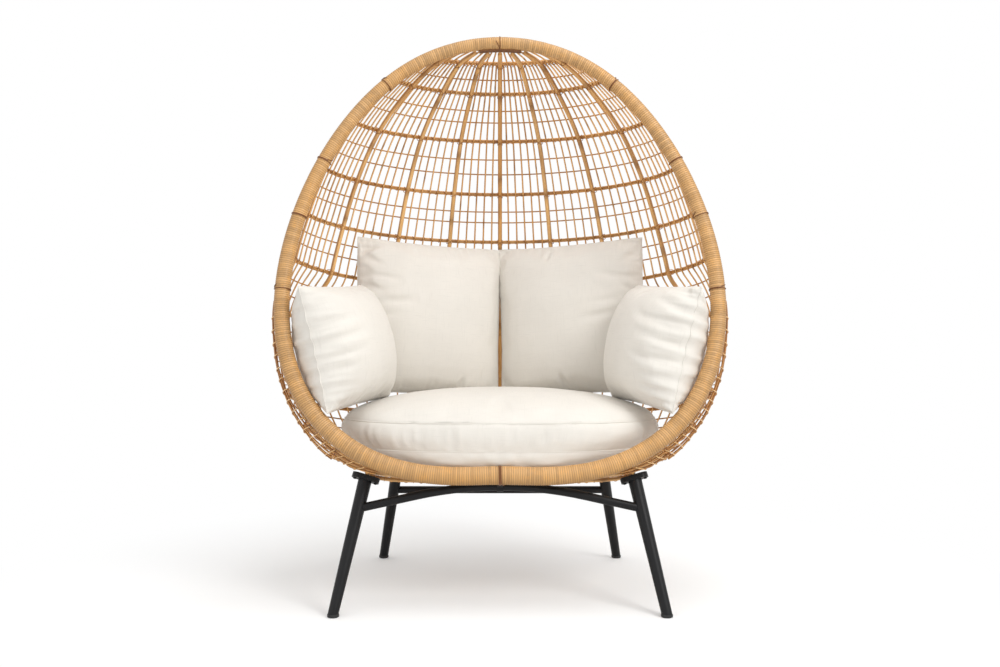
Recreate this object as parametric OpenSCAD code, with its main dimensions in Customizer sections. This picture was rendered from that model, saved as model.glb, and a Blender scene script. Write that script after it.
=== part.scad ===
// Standing egg chair: an open lattice shell on a cane-wound rim, on four splayed legs, with five cushions.
// Millimetres, +Z up, front towards -Y, floor at z = 0.

/* [Egg] */
// Width of the rim between its centre lines
rim_w = 1150; // [900:10:1450]
// Length of the rim from its foot to its top, along its slope
rim_h = 1183; // [900:10:1450]
// Lean of the rim, in degrees
rim_lean = 10; // [4:1:18]
// Depth of the shell behind the rim's foot
shell_d = 670; // [500:10:850]
// Height of the rim's foot above the floor
foot_z = 347; // [280:1:460]

/* [Rim] */
// Wound diameter at the top
rim_top_d = 34; // [24:1:50]
// Wound diameter at the foot
rim_foot_d = 48; // [30:1:64]
// Thickness of the cane ties
tie_d = 3; // [2:0.5:5]

/* [Lattice] */
// Diameter of the thick ribs
rib_d = 13; // [8:0.5:20]
// Diameter of the thinner ribs beside the rim
side_rib_d = 7; // [5:0.5:12]
// Diameter of the thick hoops
hoop_d = 11; // [7:0.5:16]
// Diameter of the thin upright rods
rod_d = 4.8; // [3:0.2:8]
// Diameter of the thin hoops
thin_d = 4; // [2:0.2:7]
// Clearance between a hoop and what crosses it
lap_gap = 0.15; // [0.1:0.05:0.5]

/* [Base] */
// Distance between the front feet
front_feet = 836; // [650:2:1100]
// Distance between the back feet
back_feet = 736; // [550:2:1000]
// Distance from the front feet to the back feet
feet_span = 665; // [500:5:850]
// How far the front feet stand ahead of the rim's foot
front_reach = 52; // [20:2:120]
// Leg diameter at the top
leg_top_d = 36; // [28:1:56]
// Leg diameter at the foot
leg_foot_d = 27; // [18:1:40]
// Wall of the leg tubes
leg_wall = 2; // [1:0.5:4]
// Diameter of the stretchers
stretcher_d = 22; // [14:1:32]
// Drop from the rim's foot to the top of the front stretcher's arch, centre to centre
arch_drop = 36; // [30:1:60]
// Rise of the front stretcher's arch
arch_rise = 57; // [30:1:80]
// Slope of the arch's straight ends, in degrees
arch_slope = 12.4; // [10:0.1:20]
// Drop from the rim's foot to the back stretcher
back_str_drop = 115; // [80:1:180]
// Length of a leg's top plate
plate_l = 74; // [50:2:110]
// Width of a leg's top plate
plate_w = 40; // [24:1:60]
// Thickness of a leg's top plate
plate_t = 14; // [6:1:20]
// Thickness of a foot glide
glide_t = 8; // [4:1:15]
// Diameter of the plate screws' heads
screw_d = 9; // [6:0.5:12]

/* [Cushions] */
// Height of the seat cushion's underside above the rim's foot
seat_rise = 15.5; // [8:0.5:22]
// Height of the seat cushion's top seam above its underside
seat_border = 117; // [60:1:160]
// Height of its crown above that seam
seat_crown = 74; // [30:1:110]
// How far its underside reaches out behind the rim on each side
seat_flare = 85; // [0:5:110]
// Width of a back pillow
back_w = 472; // [360:5:540]
// Height of a back pillow
back_h = 473; // [360:5:540]
// Thickness of a back pillow
back_t = 172; // [100:5:220]
// Width of a side pillow
side_w = 376; // [300:2:460]
// Height of a side pillow
side_h = 342; // [280:2:440]
// Thickness of a side pillow
side_t = 228; // [120:2:260]
// How far a pillow's sides draw in between its corners, as a share of its half width
draw_in = 0.015; // [0:0.005:0.15]

/* [Hidden] */
$fn = 48;

cane = [0.80, 0.62, 0.38];
rattan = [0.74, 0.53, 0.30];
dark_cane = [0.30, 0.18, 0.09];
black = [0.07, 0.07, 0.075];
rubber = [0.10, 0.10, 0.10];
cream = [0.93, 0.90, 0.84];

// The shell is the sheet on which hoops (outside) and uprights (inside) touch. Each row of the table is a
// thick hoop: its place round the rim (degrees from the foot), the middle of its back, behind and above the
// rim's foot for a shell 670 deep and a rim 1183 long, how far its sides bulge past the rim, the radius of
// that bulge as a share of the hoop's depth, how closely the uprights are drawn in there, and the hoop's
// extra clearance.
ROWS = [
  [166.9, 260, 1156, 0, 0.96, 1.35, 0],
  [157.0, 356, 1144, 0, 0.96, 1.16, 0],
  [145.6, 425, 1073, 0, 0.96, 1.10, 0],
  [130.9, 521, 951, 0, 0.96, 1.06, 0],
  [119.1, 590, 798, 0, 0.96, 1.03, 0],
  [109.5, 644, 654, 0, 0.86, 1.00, 0],
  [100.5, 668, 506, 0, 0.76, 1.00, 0.1],
  [91.4, 670, 358, 29, 0.62, 1.00, 0.3],
  [82.2, 645, 215, 37, 0.60, 1.00, 0.4],
  [73.0, 593, 105, 44, 0.56, 1.00, 0.8],
  [64.0, 493, 21, 47, 0.50, 1.00, 0.95],
  [54.0, 363, -29, 55, 0.48, 1.00, 0.6],
  [42.0, 223, -44, 63, 0.46, 1.00, 0.3],
  [20.0, 98, -23, 30, 0.50, 1.10, 0]];
LAST = len(ROWS) - 1;
ky = shell_d / 670;
kz = rim_h / 1183;
kx = rim_w / 1150;
rim_y = -(shell_d + 12 - front_reach - 15) / 2;
front_y = rim_y - front_reach;
back_y = front_y + feet_span;

// Catmull-Rom through one column of the table
function at(c, v) = let(u = min(max(v, 0), LAST), i = min(floor(u), LAST - 1), f = u - i,
    p1 = ROWS[i][c], p2 = ROWS[i + 1][c],
    p0 = i > 0 ? ROWS[i - 1][c] : 2 * p1 - p2, p3 = i + 2 <= LAST ? ROWS[i + 2][c] : 2 * p2 - p1)
    (2 * p1 + (p2 - p0) * f + (2 * p0 - 5 * p1 + 4 * p2 - p3) * f * f + (3 * p1 - p0 - 3 * p2 + p3) * f * f * f) / 2;

// The rim's centre line, t = 0 at its foot and 180 at its top
function rim_x(t) = kx * (530.3 * sin(t) - 30.7 * sin(2 * t) - 44.6 * sin(3 * t) - 10.7 * sin(4 * t));
function rim_u(t) = kz * (515.1 - 635.4 * cos(t) + 76.3 * cos(2 * t) + 44 * cos(3 * t)) ;
function rim_p(t) = [rim_x(t), rim_y + rim_u(t) * sin(rim_lean), foot_z + rim_u(t) * cos(rim_lean)];
function rim_r(t) = (rim_foot_d + (rim_top_d - rim_foot_d) * pow((1 - cos(t)) / 2, 1.2)) / 2;

function unit(a) = a / norm(a);
function back_p(v) = [0, rim_y + ky * at(1, v), foot_z + kz * at(2, v)];
// A hoop's arcs: side radius, back radius, where they meet, where the hoop ends, from its half width,
// depth, bulge and share
function arcs(w, d, b, rho) = let(r = (w * w + d * d) / (2 * d), a = atan2(w, r - d), own = a > 90
    ? r - w : 0)
    b <= max(own, 0.1) ? [r, r, a, a]
    : let(r1 = rho * d, e = 180 - asin(1 - b / r1), f = w + b - r1, g = d - r1 * (1 - cos(e)),
        m = 2 * atan2(g, f))
      [r1, r1 + f / sin(m), m, e];
// [middle of the chord, direction to the back, depth, arcs] of the hoop through p (at the rim) and q (at
// the back)
function hoop_of(p, q, v) = let(m = [0, p[1], p[2]], d = norm(q - m))
    [m, (q - m) / d, d, arcs(p[0], d, kx * max(0, at(3, v)), at(4, v))];
function sheet_hoop(v) = hoop_of(rim_p(at(0, v)), back_p(v), v);
function on_hoop(h, a) = let(k = h[3], c = k[1] - k[0], m = min(a, k[2]))
    a <= k[2] ? [k[1] * sin(a), k[1] * cos(a) - k[1]]
        : [c * sin(k[2]) + k[0] * sin(a), c * cos(k[2]) + k[0] * cos(a) - k[1]];
// The sheet: v counts hoops downwards, s runs from 0 at the back to 1 at the rim, negative to the left
function sheet(v, s) = let(h = sheet_hoop(v), k = h[3], l1 = k[1] * k[2],
    l = abs(s) * at(5, v) * (l1 + k[0] * (k[3] - k[2])),
    a = l <= l1 ? l / k[1] : k[2] + (l - l1) / k[0], q = on_hoop(h, a))
    h[0] + h[1] * (h[2] + q[1]) + [sign(s) * q[0], 0, 0];
function out(v, s) = let(a = sheet(min(v + 0.01, LAST), s) - sheet(max(v - 0.01, 0), s),
    b = sheet(v, s + 0.004) - sheet(v, s - 0.004))
    unit(cross(b, a));
function half_len(v) = let(k = sheet_hoop(v)[3]) 3.14159 / 180 * (k[1] * k[2] + k[0] * (k[3] - k[2]));

// ---- tubes swept along points -------------------------------------------------------------------
// ends holds the direction of the tube at its first and at its last point, where they are given
function frame(p, n, i, ends) = let(last = len(p) - 1, e = i == 0 ? ends[0] : i == last ? ends[1] : undef,
    t = e ? e : unit(p[min(i + 1, last)] - p[max(i - 1, 0)]), m = unit(n[i] - t * (n[i] * t)))
    [m, cross(t, m)];
module tube(p, n, r, sides, ends = []) {
  c = len(p);
  pts = [for (i = [0:c - 1]) let(f = frame(p, n, i, ends))
      for (j = [0:sides - 1]) p[i] + (is_list(r) ? r[i] : r)
      * (f[0] * cos(360 * j / sides) + f[1] * sin(360 * j / sides))];
  sides_ = [for (i = [0:c - 2]) for (j = [0:sides - 1]) let(a = i * sides + j,
      b = i * sides + (j + 1) % sides) each [[a, a + sides, b], [b, a + sides, b + sides]]];
  polyhedron(pts, concat([[for (j = [0:sides - 1]) j]], sides_,
      [[for (j = [sides - 1:-1:0]) (c - 1) * sides + j]]), convexity = 8);
}

// ---- rim -------------------------------------------------------------------------------------
rim_rings = 40;
joint_gap = 0.15;
// Places of the rings round the rim, closer where it bends more
RT = [for (i = [0:rim_rings]) let(t = 180 * i / rim_rings) t + 6 * sin(2 * t)];
RIM = [for (t = RT) let(p = rim_p(t)) [max(p[0], joint_gap), p[1], p[2]]];
RIM_R = [for (t = RT) rim_r(t)];
module rim_half(sx) tube([for (p = RIM) [sx * p[0], p[1], p[2]]],
    [for (t = RT) [0, -cos(rim_lean), sin(rim_lean)]], RIM_R, 16, [[sx, 0, 0], [-sx, 0, 0]]);
// How far a point lies off the rim's surface
function off_part(q, i) = let(a = RIM[i], ab = RIM[i + 1] - a,
    f = max(0, min(1, (q - a) * ab / (ab * ab)))) norm(q - a - ab * f)
    - 0.99 * (RIM_R[i] + (RIM_R[i + 1] - RIM_R[i]) * f);
function off_rim(p) = let(q = [abs(p[0]), p[1], p[2]]) min([for (i = [0:rim_rings - 1]) off_part(q, i)]);
module rim_left() color(cane) rim_half(-1);
module rim_right() color(cane) rim_half(1);
// A tie is a ring of cane round the rim at its ring i
tie_gap = 0.25;
module tie(i, sx) {
  d = i == 0 || i == rim_rings ? [1, 0, 0] : unit(RIM[i + 1] - RIM[i - 1]);
  translate([i == 0 || i == rim_rings ? 0 : sx * RIM[i][0], RIM[i][1], RIM[i][2]])
      mirror([sx < 0 ? 1 : 0, 0, 0])
    multmatrix(to_z(d)) rotate_extrude() translate([RIM_R[i] + tie_gap + tie_d / 2, 0]) circle(d = tie_d);
}
// Turns +Z to the direction d
function to_z(d) = let(x = unit(abs(d[0]) > 0.9 ? cross([0, 1, 0], d) : cross([1, 0, 0], d)), y = cross(d, x))
    [[x[0], y[0], d[0], 0], [x[1], y[1], d[1], 0], [x[2], y[2], d[2], 0], [0, 0, 0, 1]];
TIES = [33, 28, 25, 21];
module rim_ties() color(dark_cane) {
  tie(rim_rings, 1);
  for (t = TIES) for (sx = [-1, 1]) tie(t, sx);
}
module foot_tie() color(dark_cane) { tie(0, 1); }

// ---- uprights --------------------------------------------------------------------------------
RIBS = [0, 0.198, 0.410, 0.683, 0.923];
IN1 = [for (i = [1:5]) RIBS[1] * i / 6];
IN2 = [for (i = [1:5]) RIBS[1] + (RIBS[2] - RIBS[1]) * i / 6];
OUT3 = [for (i = [1:6]) RIBS[2] + (RIBS[3] - RIBS[2]) * i / 7];
OUT4 = [for (i = [1:6]) RIBS[3] + (RIBS[4] - RIBS[3]) * i / 7];
OUTER = [RIBS[4] + 0.034];
// An upright's centre line at v, and the first and the last place that clear the rim by rim_gap
rim_gap = 0.3;
function up_pt(v, s, d) = sheet(v, s) - out(v, s) * (d / 2 + lap_gap);
function clears(v, s, d) = off_rim(up_pt(v, s, d)) - d / 2 > rim_gap;
function halve(bad, good, s, d, n = 7) = n == 0 ? good : let(m = (bad + good) / 2) clears(m, s, d)
    ? halve(bad, m, s, d, n - 1) : halve(m, good, s, d, n - 1);
function start(s, d) = let(bad = [for (v = [0:0.25:8]) if (!clears(v, s, d)) v], z = bad[len(bad) - 1])
    len(bad) == 0 ? 0 : halve(z, z + 0.25, s, d);
function stop(s, d) = let(bad = [for (v = [8:0.25:LAST]) if (!clears(v, s, d)) v]) len(bad) == 0 ? LAST
    : halve(bad[0], bad[0] - 0.25, s, d);
// Thin hoops lie between the thick ones
THIN = [1.586, 2.38, 2.62, 3.345, 3.613, 4.354, 4.58, 5.35, 5.62, 6.35, 6.65, 7.35, 7.65, 8.35, 8.65,
    9.35, 9.65, 10.35, 10.65, 11.5];
// Uprights have a ring where they cross a hoop, in order down the shell; the thin rods follow the thick
// hoops only
RIB_AT = concat([0, 0.5, 1, 1.586], [for (i = [2:11]) each concat([i],
    [for (v = THIN) if (v > i && v < i + 1) v])], [12, 12.5, 13]);
ROD_AT = [1, 1.5, 2, 2.5, 3, 3.5, 4, 5, 6, 7, 8, 9, 9.5, 10, 10.5, 11, 12];
function steps(a, b, list) = concat([a], [for (v = list) if (v > a + 0.12 && v < b - 0.12) v], [b]);
module upright(s, d, v0, v1, list, sides, ends) {
  vs = steps(v0, v1, list);
  tube([for (v = vs) up_pt(v, s, d)], [for (v = vs) out(v, s)], d / 2, sides, ends);
}
// Ribs and rods come in two lengths, which meet end to end on a hoop behind the pillows
UP_JOINT = 5;
joint_v = 0.001;
module lengths(s, d, v0, v1, list, sides) {
  t = unit(up_pt(UP_JOINT + 0.01, s, d) - up_pt(UP_JOINT - 0.01, s, d));
  upright(s, d, v0, UP_JOINT - joint_v, list, sides, [undef, t]);
  upright(s, d, UP_JOINT + joint_v, v1, list, sides, [t, undef]);
}
module rib(s, d = rib_d, sides = 8) lengths(s, d, start(s, d), stop(s, d), RIB_AT, sides);
// Every second thin rod of a bay reaches the first and the last hoop; the rest stop a hoop short of them
module rods(bay, sx) for (i = [0:len(bay) - 1]) {
  short = i % 2 == 0;
  v0 = max(start(bay[i], rod_d), short ? 0.95 : 0);
  v1 = min(stop(bay[i], rod_d), short ? 12.06 : LAST);
  lengths(sx * bay[i], rod_d, v0, v1, ROD_AT, 5);
}
module rib_centre() color(rattan) rib(0);
module rib_left_1() color(rattan) rib(-RIBS[1]);
module rib_right_1() color(rattan) rib(RIBS[1]);
module rib_left_2() color(rattan) rib(-RIBS[2]);
module rib_right_2() color(rattan) rib(RIBS[2]);
module rib_left_3() color(rattan) rib(-RIBS[3]);
module rib_right_3() color(rattan) rib(RIBS[3]);
module rib_left_4() color(rattan) rib(-RIBS[4], side_rib_d, 6);
module rib_right_4() color(rattan) rib(RIBS[4], side_rib_d, 6);

// ---- hoops -----------------------------------------------------------------------------------
// Where the hoop of diameter d lies at v: [its hoop_of, offset from the sheet]
function hoop_at(v, d) = let(o = d / 2 + lap_gap + max(0, at(6, v)), e = 0.999 / at(5, v))
    hoop_of(sheet(v, e) + o * out(v, e), back_p(v) + o * out(v, 0), v);
// Its centre line at the angle a from the middle of its back
function hoop_pt(h, a) = let(q = on_hoop(h, abs(a))) h[0] + h[1] * (h[2] + q[1]) + [sign(a) * q[0], 0, 0];
module arc(r, d, a0, a1) rotate([0, 0, a0]) rotate_extrude(angle = a1 - a0, $fn = 180) translate([r, 0])
    circle(d = d, $fn = 48);
// How far a hoop's end at the angle a lies off the rim, and the angle at which that is rim_gap
function end_off(h, d, a) = let(t = unit(hoop_pt(h, a + 0.1) - hoop_pt(h, a - 0.1)),
    w = unit(cross(h[1], [1, 0, 0])), u = cross(t, w))
    min([for (j = [0:7]) off_rim(hoop_pt(h, a) + (u * cos(45 * j) + w * sin(45 * j)) * d / 2)]);
function reach(h, d, a, b, n = 15) = n == 0 ? a : let(m = (a + b) / 2) end_off(h, d, m) > rim_gap
    ? reach(h, d, m, b, n - 1) : reach(h, d, a, m, n - 1);
// The hoop of diameter d at v, cut short of the rim; sleeves join arcs of different radius, and a slit
// parts it in halves
module hoop(v, d, slit = 0) {
  h = hoop_at(v, d);
  k = h[3];
  e = reach(h, d, k[3] / 3, k[3]);
  back = min(k[2], e);
  multmatrix([[1, 0, 0, 0], [0, h[1][1], -h[1][2], h[0][1]], [0, h[1][2], h[1][1], h[0][2]], [0, 0, 0, 1]])
    translate([0, h[2] - k[1], 0]) {
      if (slit == 0) arc(k[1], d, 90 - back, 90 + back);
      for (m = [0, 1]) mirror([m, 0, 0]) {
        if (slit > 0) arc(k[1], d, 90 - back, 90 - asin(slit / 2 / k[1]));
        if (k[2] < e) {
          translate([(k[1] - k[0]) * sin(k[2]), (k[1] - k[0]) * cos(k[2]), 0])
              arc(k[0], d, 90 - e, 90 - k[2]);
          rotate([0, 0, -k[2]]) translate([0, k[1], 0]) rotate([0, 90, 0])
              cylinder(d = d + 0.16, h = 4, center = true);
        }
      }
    }
}
// Thin hoops come in halves, which meet end to end behind the centre rib
module thin_hoops(a, b) for (v = THIN) if (v > a && v < b) hoop(v, thin_d, joint_gap);
module hoop_0() color(rattan) hoop(0, hoop_d);
module hoop_1() color(rattan) hoop(1, hoop_d);
module hoop_2() color(rattan) hoop(2, hoop_d);
module hoop_3() color(rattan) hoop(3, hoop_d);
module hoop_4() color(rattan) hoop(4, hoop_d);
module hoop_5() color(rattan) hoop(5, hoop_d);
module hoop_6() color(rattan) hoop(6, hoop_d);
module hoop_7() color(rattan) hoop(7, hoop_d);
module hoop_8() color(rattan) hoop(8, hoop_d);
module hoop_9() color(rattan) hoop(9, hoop_d);
module hoop_10() color(rattan) hoop(10, hoop_d);
module hoop_11() color(rattan) hoop(11, hoop_d);
module hoop_12() color(rattan) hoop(12, hoop_d);
module hoop_13() color(rattan) hoop(13, hoop_d);
module thin_hoops_top() color(rattan) thin_hoops(0, 4);
module thin_hoops_middle() color(rattan) thin_hoops(4, 8);
module thin_hoops_low() color(rattan) thin_hoops(8, 12);
module rods_left_inner() color(rattan) { rods(IN1, -1); rods(IN2, -1); }
module rods_right_inner() color(rattan) { rods(IN1, 1); rods(IN2, 1); }
module rods_left_outer() color(rattan) { rods(OUT3, -1); rods(OUT4, -1); rods(OUTER, -1); }
module rods_right_outer() color(rattan) { rods(OUT3, 1); rods(OUT4, 1); rods(OUTER, 1); }

// Band: rods laid over the outside of the hoops where the shell swells out past the rim; those that would
// meet a front leg's plate end a hoop higher
BAND = [0.81, 0.852, 0.894, 0.935];
BAND_AT = [7, 7.5, 8, 8.5, 9, 9.5, 10, 10.5, 11, 11.5, 12];
band_gap = 0.45;
function band_pt(v, s) = sheet(v, s) + out(v, s)
    * (hoop_d + lap_gap + band_gap + max(0, at(6, v)) + rod_d / 2);
band_top = 6.94;
band_foot = 12.06;
plate_end = 0.88;
module band_rod(s) {
  vs = steps(band_top, abs(s) < plate_end ? band_foot - 1 : band_foot, BAND_AT);
  tube([for (v = vs) band_pt(v, s)], [for (v = vs) out(v, s)], rod_d / 2, 5);
}
module rods_left_band() color(rattan) for (s = BAND) band_rod(-s);
module rods_right_band() color(rattan) for (s = BAND) band_rod(s);

// ---- base ------------------------------------------------------------------------------------
seat_gap = 0.2;
// A top plate lies under a hoop, at the share s of its way to the rim: [middle, out, along, across]
function plate_at(v, s) = let(h = hoop_at(v, hoop_d), k = h[3],
    len_ = k[1] * k[2] + k[0] * (k[3] - k[2]), l = s * len_,
    a = l <= k[1] * k[2] ? l / k[1] : k[2] + (l - k[1] * k[2]) / k[0],
    t = unit(hoop_pt(h, a + 0.5) - hoop_pt(h, a - 0.5)), o = out(v, s), n = unit(o - t * (o * t)), u =
        unit([-n[2], 0, n[0]]))
    [hoop_pt(h, a) + n * (hoop_d / 2 + seat_gap + plate_t / 2), n, u, cross(n, u)];
FRONT = plate_at(12, 0.785);
BACK = plate_at(10, 0.36);
// A leg: [foot centre on its glide, centre of the plate's underside, plate]
function leg_of(p, x, y) = [[x, y, glide_t], p[0] + p[1] * (plate_t / 2), p];
LF = leg_of(FRONT, front_feet / 2, front_y);
LB = leg_of(BACK, back_feet / 2, back_y);
function leg_pt(l, z) = l[0] + (l[1] - l[0]) * (z - l[0][2]) / (l[1][2] - l[0][2]);
module side(sx) mirror([sx < 0 ? 1 : 0, 0, 0]) children();
module plate(l) {
  p = l[2];
  multmatrix([[p[2][0], p[3][0], p[1][0], p[0][0]], [p[2][1], p[3][1], p[1][1], p[0][1]],
      [p[2][2], p[3][2], p[1][2], p[0][2]], [0, 0, 0, 1]])
    linear_extrude(plate_t, center = true) {
      square([plate_l - plate_w, plate_w], center = true);
      for (m = [-1, 1]) translate([m * (plate_l - plate_w) / 2, 0]) circle(d = plate_w);
    }
}
module cone_on(l, grow, over) {
  a = l[0];
  b = l[1];
  d = unit(b - a);
  n = norm(b - a);
  slope = (leg_top_d - leg_foot_d) / 2 / n;
  translate(a - d * over) multmatrix(to_z(d)) cylinder(r1 = leg_foot_d / 2 - slope * over + grow,
      r2 = leg_top_d / 2 + slope * over + grow, h = n + 2 * over);
}
module leg(l) difference() {
  cone_on(l, 0, 30);
  cone_on(l, -leg_wall, 31);
  translate([0, 0, l[0][2] + seat_gap - 100]) cube([4000, 4000, 200], center = true);
  p = l[2];
  multmatrix([[p[2][0], p[3][0], p[1][0], l[1][0]], [p[2][1], p[3][1], p[1][1], l[1][1]],
      [p[2][2], p[3][2], p[1][2], l[1][2]], [0, 0, 0, 1]])
    translate([-100, -100, -100 + seat_gap]) cube([200, 200, 100]);
}
module glide(l) translate([l[0][0], l[0][1], 0]) rotate_extrude() {
  r = leg_foot_d / 2 + 1.5;
  polygon([[0, 0], [r - 2, 0], [r, 2], [r, glide_t - 1], [r - 1, glide_t], [0, glide_t]]);
}
module screws(l) {
  p = l[2];
  for (m = [-1, 1]) translate(l[1] + p[1] * 0.1 + p[2] * m * (plate_l / 2 - screw_d)) multmatrix(to_z(p[1])) {
    cylinder(d = screw_d, h = 2);
    translate([0, 0, 1.9]) cylinder(d1 = screw_d, d2 = screw_d - 2.4, h = 1.3);
  }
}
module leg_front_left() color(black) side(-1) leg(LF);
module leg_front_right() color(black) leg(LF);
module leg_back_left() color(black) side(-1) leg(LB);
module leg_back_right() color(black) leg(LB);
module plate_front_left() color(black) side(-1) plate(LF);
module plate_front_right() color(black) plate(LF);
module plate_back_left() color(black) side(-1) plate(LB);
module plate_back_right() color(black) plate(LB);
module glide_front_left() color(rubber) side(-1) glide(LF);
module glide_front_right() color(rubber) glide(LF);
module glide_back_left() color(rubber) side(-1) glide(LB);
module glide_back_right() color(rubber) glide(LB);
module plate_screws() color(black) for (l = [LF, LB]) for (sx = [-1, 1]) side(sx) screws(l);

// Front stretcher: straight ends that rise to a middle arc, between the front legs
arch_z = foot_z - arch_drop;
str_end = leg_pt(LF, arch_z - arch_rise);
arch_r = (str_end[0] * tan(arch_slope) - arch_rise)
    / (sin(arch_slope) * tan(arch_slope) - 1 + cos(arch_slope));
module front_stretcher() color(black) difference() {
  translate([0, str_end[1], arch_z]) rotate([90, 0, 0]) {
    translate([0, -arch_r, 0]) arc(arch_r, stretcher_d, 90 - arch_slope, 90 + arch_slope);
    for (m = [0, 1]) mirror([m, 0, 0]) translate([arch_r * sin(arch_slope),
        arch_r * cos(arch_slope) - arch_r, 0]) rotate([0, 0, -arch_slope]) {
      rotate([0, 90, 0]) cylinder(d = stretcher_d,
          h = (str_end[0] - arch_r * sin(arch_slope)) / cos(arch_slope) + 5);
      rotate([0, 90, 0]) cylinder(d = stretcher_d + 0.1, h = 6, center = true);
    }
  }
  for (sx = [-1, 1]) side(sx) cone_on(LF, 0.2, 30);
}
back_end = leg_pt(LB, foot_z - back_str_drop);
module back_stretcher() color(black) difference() {
  translate(back_end) rotate([0, -90, 0]) cylinder(d = stretcher_d, h = 2 * back_end[0]);
  for (sx = [-1, 1]) side(sx) cone_on(LB, 0.2, 30);
}
// Clip: a sleeve on the arch with a lug that fits the underside of the rim
clip_w = 17;
module centre_clip() color(black) {
  a = [0, str_end[1], arch_z];
  b = rim_p(0);
  d = unit(b - a);
  n = norm(b - a);
  difference() {
    union() {
      translate(a) rotate([0, 90, 0]) cylinder(d = stretcher_d + 6, h = clip_w, center = true);
      translate(a) multmatrix(to_z(d)) translate([-clip_w / 2, -8, 0]) cube([clip_w, 16, n - 4]);
    }
    translate(a) rotate([0, 90, 0]) cylinder(d = stretcher_d + 0.3, h = clip_w + 2, center = true);
    translate(b) rotate([0, 90, 0]) cylinder(r = rim_r(0) + tie_gap + tie_d + 0.3, h = clip_w + 2,
        center = true);
  }
}

// ---- seat cushion -----------------------------------------------------------------------------
soft_gap = 0.3;
seat_z = foot_z + seat_rise;
seam_z = seat_z + seat_border;
// Where the rim passes the height z, and where the inner side of the centre rib does
function rim_t(z, lo = 22, hi = 90) = let(m = (lo + hi) / 2) hi - lo < 0.05 ? m : rim_p(m)[2] < z
    ? rim_t(z, m, hi) : rim_t(z, lo, m);
function rib_in(v) = sheet(v, 0) - out(v, 0) * (rib_d + lap_gap);
function rib_y(z, lo = 6, hi = 11.5) = let(m = (lo + hi) / 2) hi - lo < 0.001 ? rib_in(m)[1]
    : rib_in(m)[2] > z ? rib_y(z, m, hi) : rib_y(z, lo, m);
// Border rings: share of the border's height, how far the ring is drawn in
BORDER = [[0, 14], [0.03, 10], [0.08, 5], [0.16, 1], [0.30, 0], [0.355, 6], [0.41, 0], [0.62, -5],
    [0.85, -3], [0.94, 1], [0.98, 7]];
seat_slack = 34;
// The cushion's underside meets the centre rib behind and the rim's foot in front
seat_front = max([for (b = BORDER) let(h = b[0] * seat_border + seat_rise,
    r = rim_r(0) + tie_gap + tie_d + soft_gap) if (h < r) rim_y - b[1] + sqrt(r * r - h * h)]);
seat_back = [rib_y(seat_z) + BORDER[0][1] - 8 * soft_gap, rib_y(seam_z) - seat_slack];
// Half width, middle and half depth of the cushion at the height z
function seat_at(z) = let(t = rim_t(z), f = (z - seat_z) / seat_border,
    y = seat_back[0] + (seat_back[1] - seat_back[0]) * f)
    [rim_x(t) - rim_r(t) - 2 + seat_flare * (1 - f * f), (seat_front + y) / 2, (y - seat_front) / 2];
// Its outline: flatter in front than at the back, r is the share of the way out from the middle
function seat_edge(k, a, r = 1) = let(p = sin(a) < 0 ? 3 : 2.1, c = cos(a), d = sin(a),
    q = pow(pow(abs(c), p) + pow(abs(d), p), -1 / p)) [k[0] * r * q * c, k[1] + k[2] * r * q * d];
CROWN = [1, 0.975, 0.93, 0.85, 0.73, 0.57, 0.38, 0.18];
function crown(r) = seat_crown * pow(1 - pow(r, 2.4), 0.75);
SEAT_N = 36;
module seat_cushion() color(cream) {
  k = seat_at(seam_z);
  rings = concat(
    [for (b = BORDER) let(z = seat_z + b[0] * seat_border, e = seat_at(z),
        g = [e[0] - b[1], e[1], e[2] - b[1]]) [for (i = [0:SEAT_N - 1])
        let(q = seat_edge(g, 360 * i / SEAT_N)) [q[0], q[1], z]]],
    [for (r = CROWN) [for (i = [0:SEAT_N - 1]) let(q = seat_edge(k, 360 * i / SEAT_N, r)) [q[0], q[1],
        seam_z + crown(r)]]]);
  n = len(rings);
  pts = concat([for (r = rings) each r], [[0, seat_at(seat_z)[1], seat_z], [0, k[1], seam_z + crown(0)]]);
  polyhedron(pts, concat(
    [for (j = [0:SEAT_N - 1]) [n * SEAT_N, j, (j + 1) % SEAT_N]],
    [for (i = [0:n - 2]) for (j = [0:SEAT_N - 1]) let(a = i * SEAT_N + j,
        b = i * SEAT_N + (j + 1) % SEAT_N) each [[a, a + SEAT_N, b], [b, a + SEAT_N, b + SEAT_N]]],
    [for (j = [0:SEAT_N - 1]) [n * SEAT_N + 1, (n - 1) * SEAT_N + (j + 1) % SEAT_N,
        (n - 1) * SEAT_N + j]]), convexity = 4);
}
// Height of the cushion's top under a point, or well below it outside the cushion
function seat_top(x, y) = let(k = seat_at(seam_z), p = y < k[1] ? 3 : 2.1,
    r = pow(pow(abs(x / k[0]), p) + pow(abs((y - k[1]) / k[2]), p), 1 / p))
    r > 1 ? seam_z - (r - 1) * 2000 : seam_z + crown(r);

// ---- pillows ---------------------------------------------------------------------------------
// A pillow's axes: along its width, up, and out of its face, for a right-hand pillow turned, leant back
// and rolled
function axes(turn, lean, roll) = let(a = [cos(turn), -sin(turn), 0],
    b = [sin(turn) * sin(lean), cos(turn) * sin(lean), cos(lean)])
    [a * cos(roll) + b * sin(roll), b * cos(roll) - a * sin(roll), cross(a, b)];
function plump(u, v) = abs(u) >= 1 || abs(v) >= 1 ? 0 : pow((1 - u * u) * (1 - v * v), 0.48);
// Size is [width, height, thickness]; u and v run from -1 to 1, f is 1 on the face and -1 on the back
function pillow_pt(c, x, size, u, v, f) = c + x[0] * (size[0] / 2 * u * (1 - draw_in * (1 - v * v)))
    + x[1] * (size[1] / 2 * v * (1 - draw_in * (1 - u * u))) + x[2] * (f * size[2] / 2 * plump(u, v));
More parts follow.
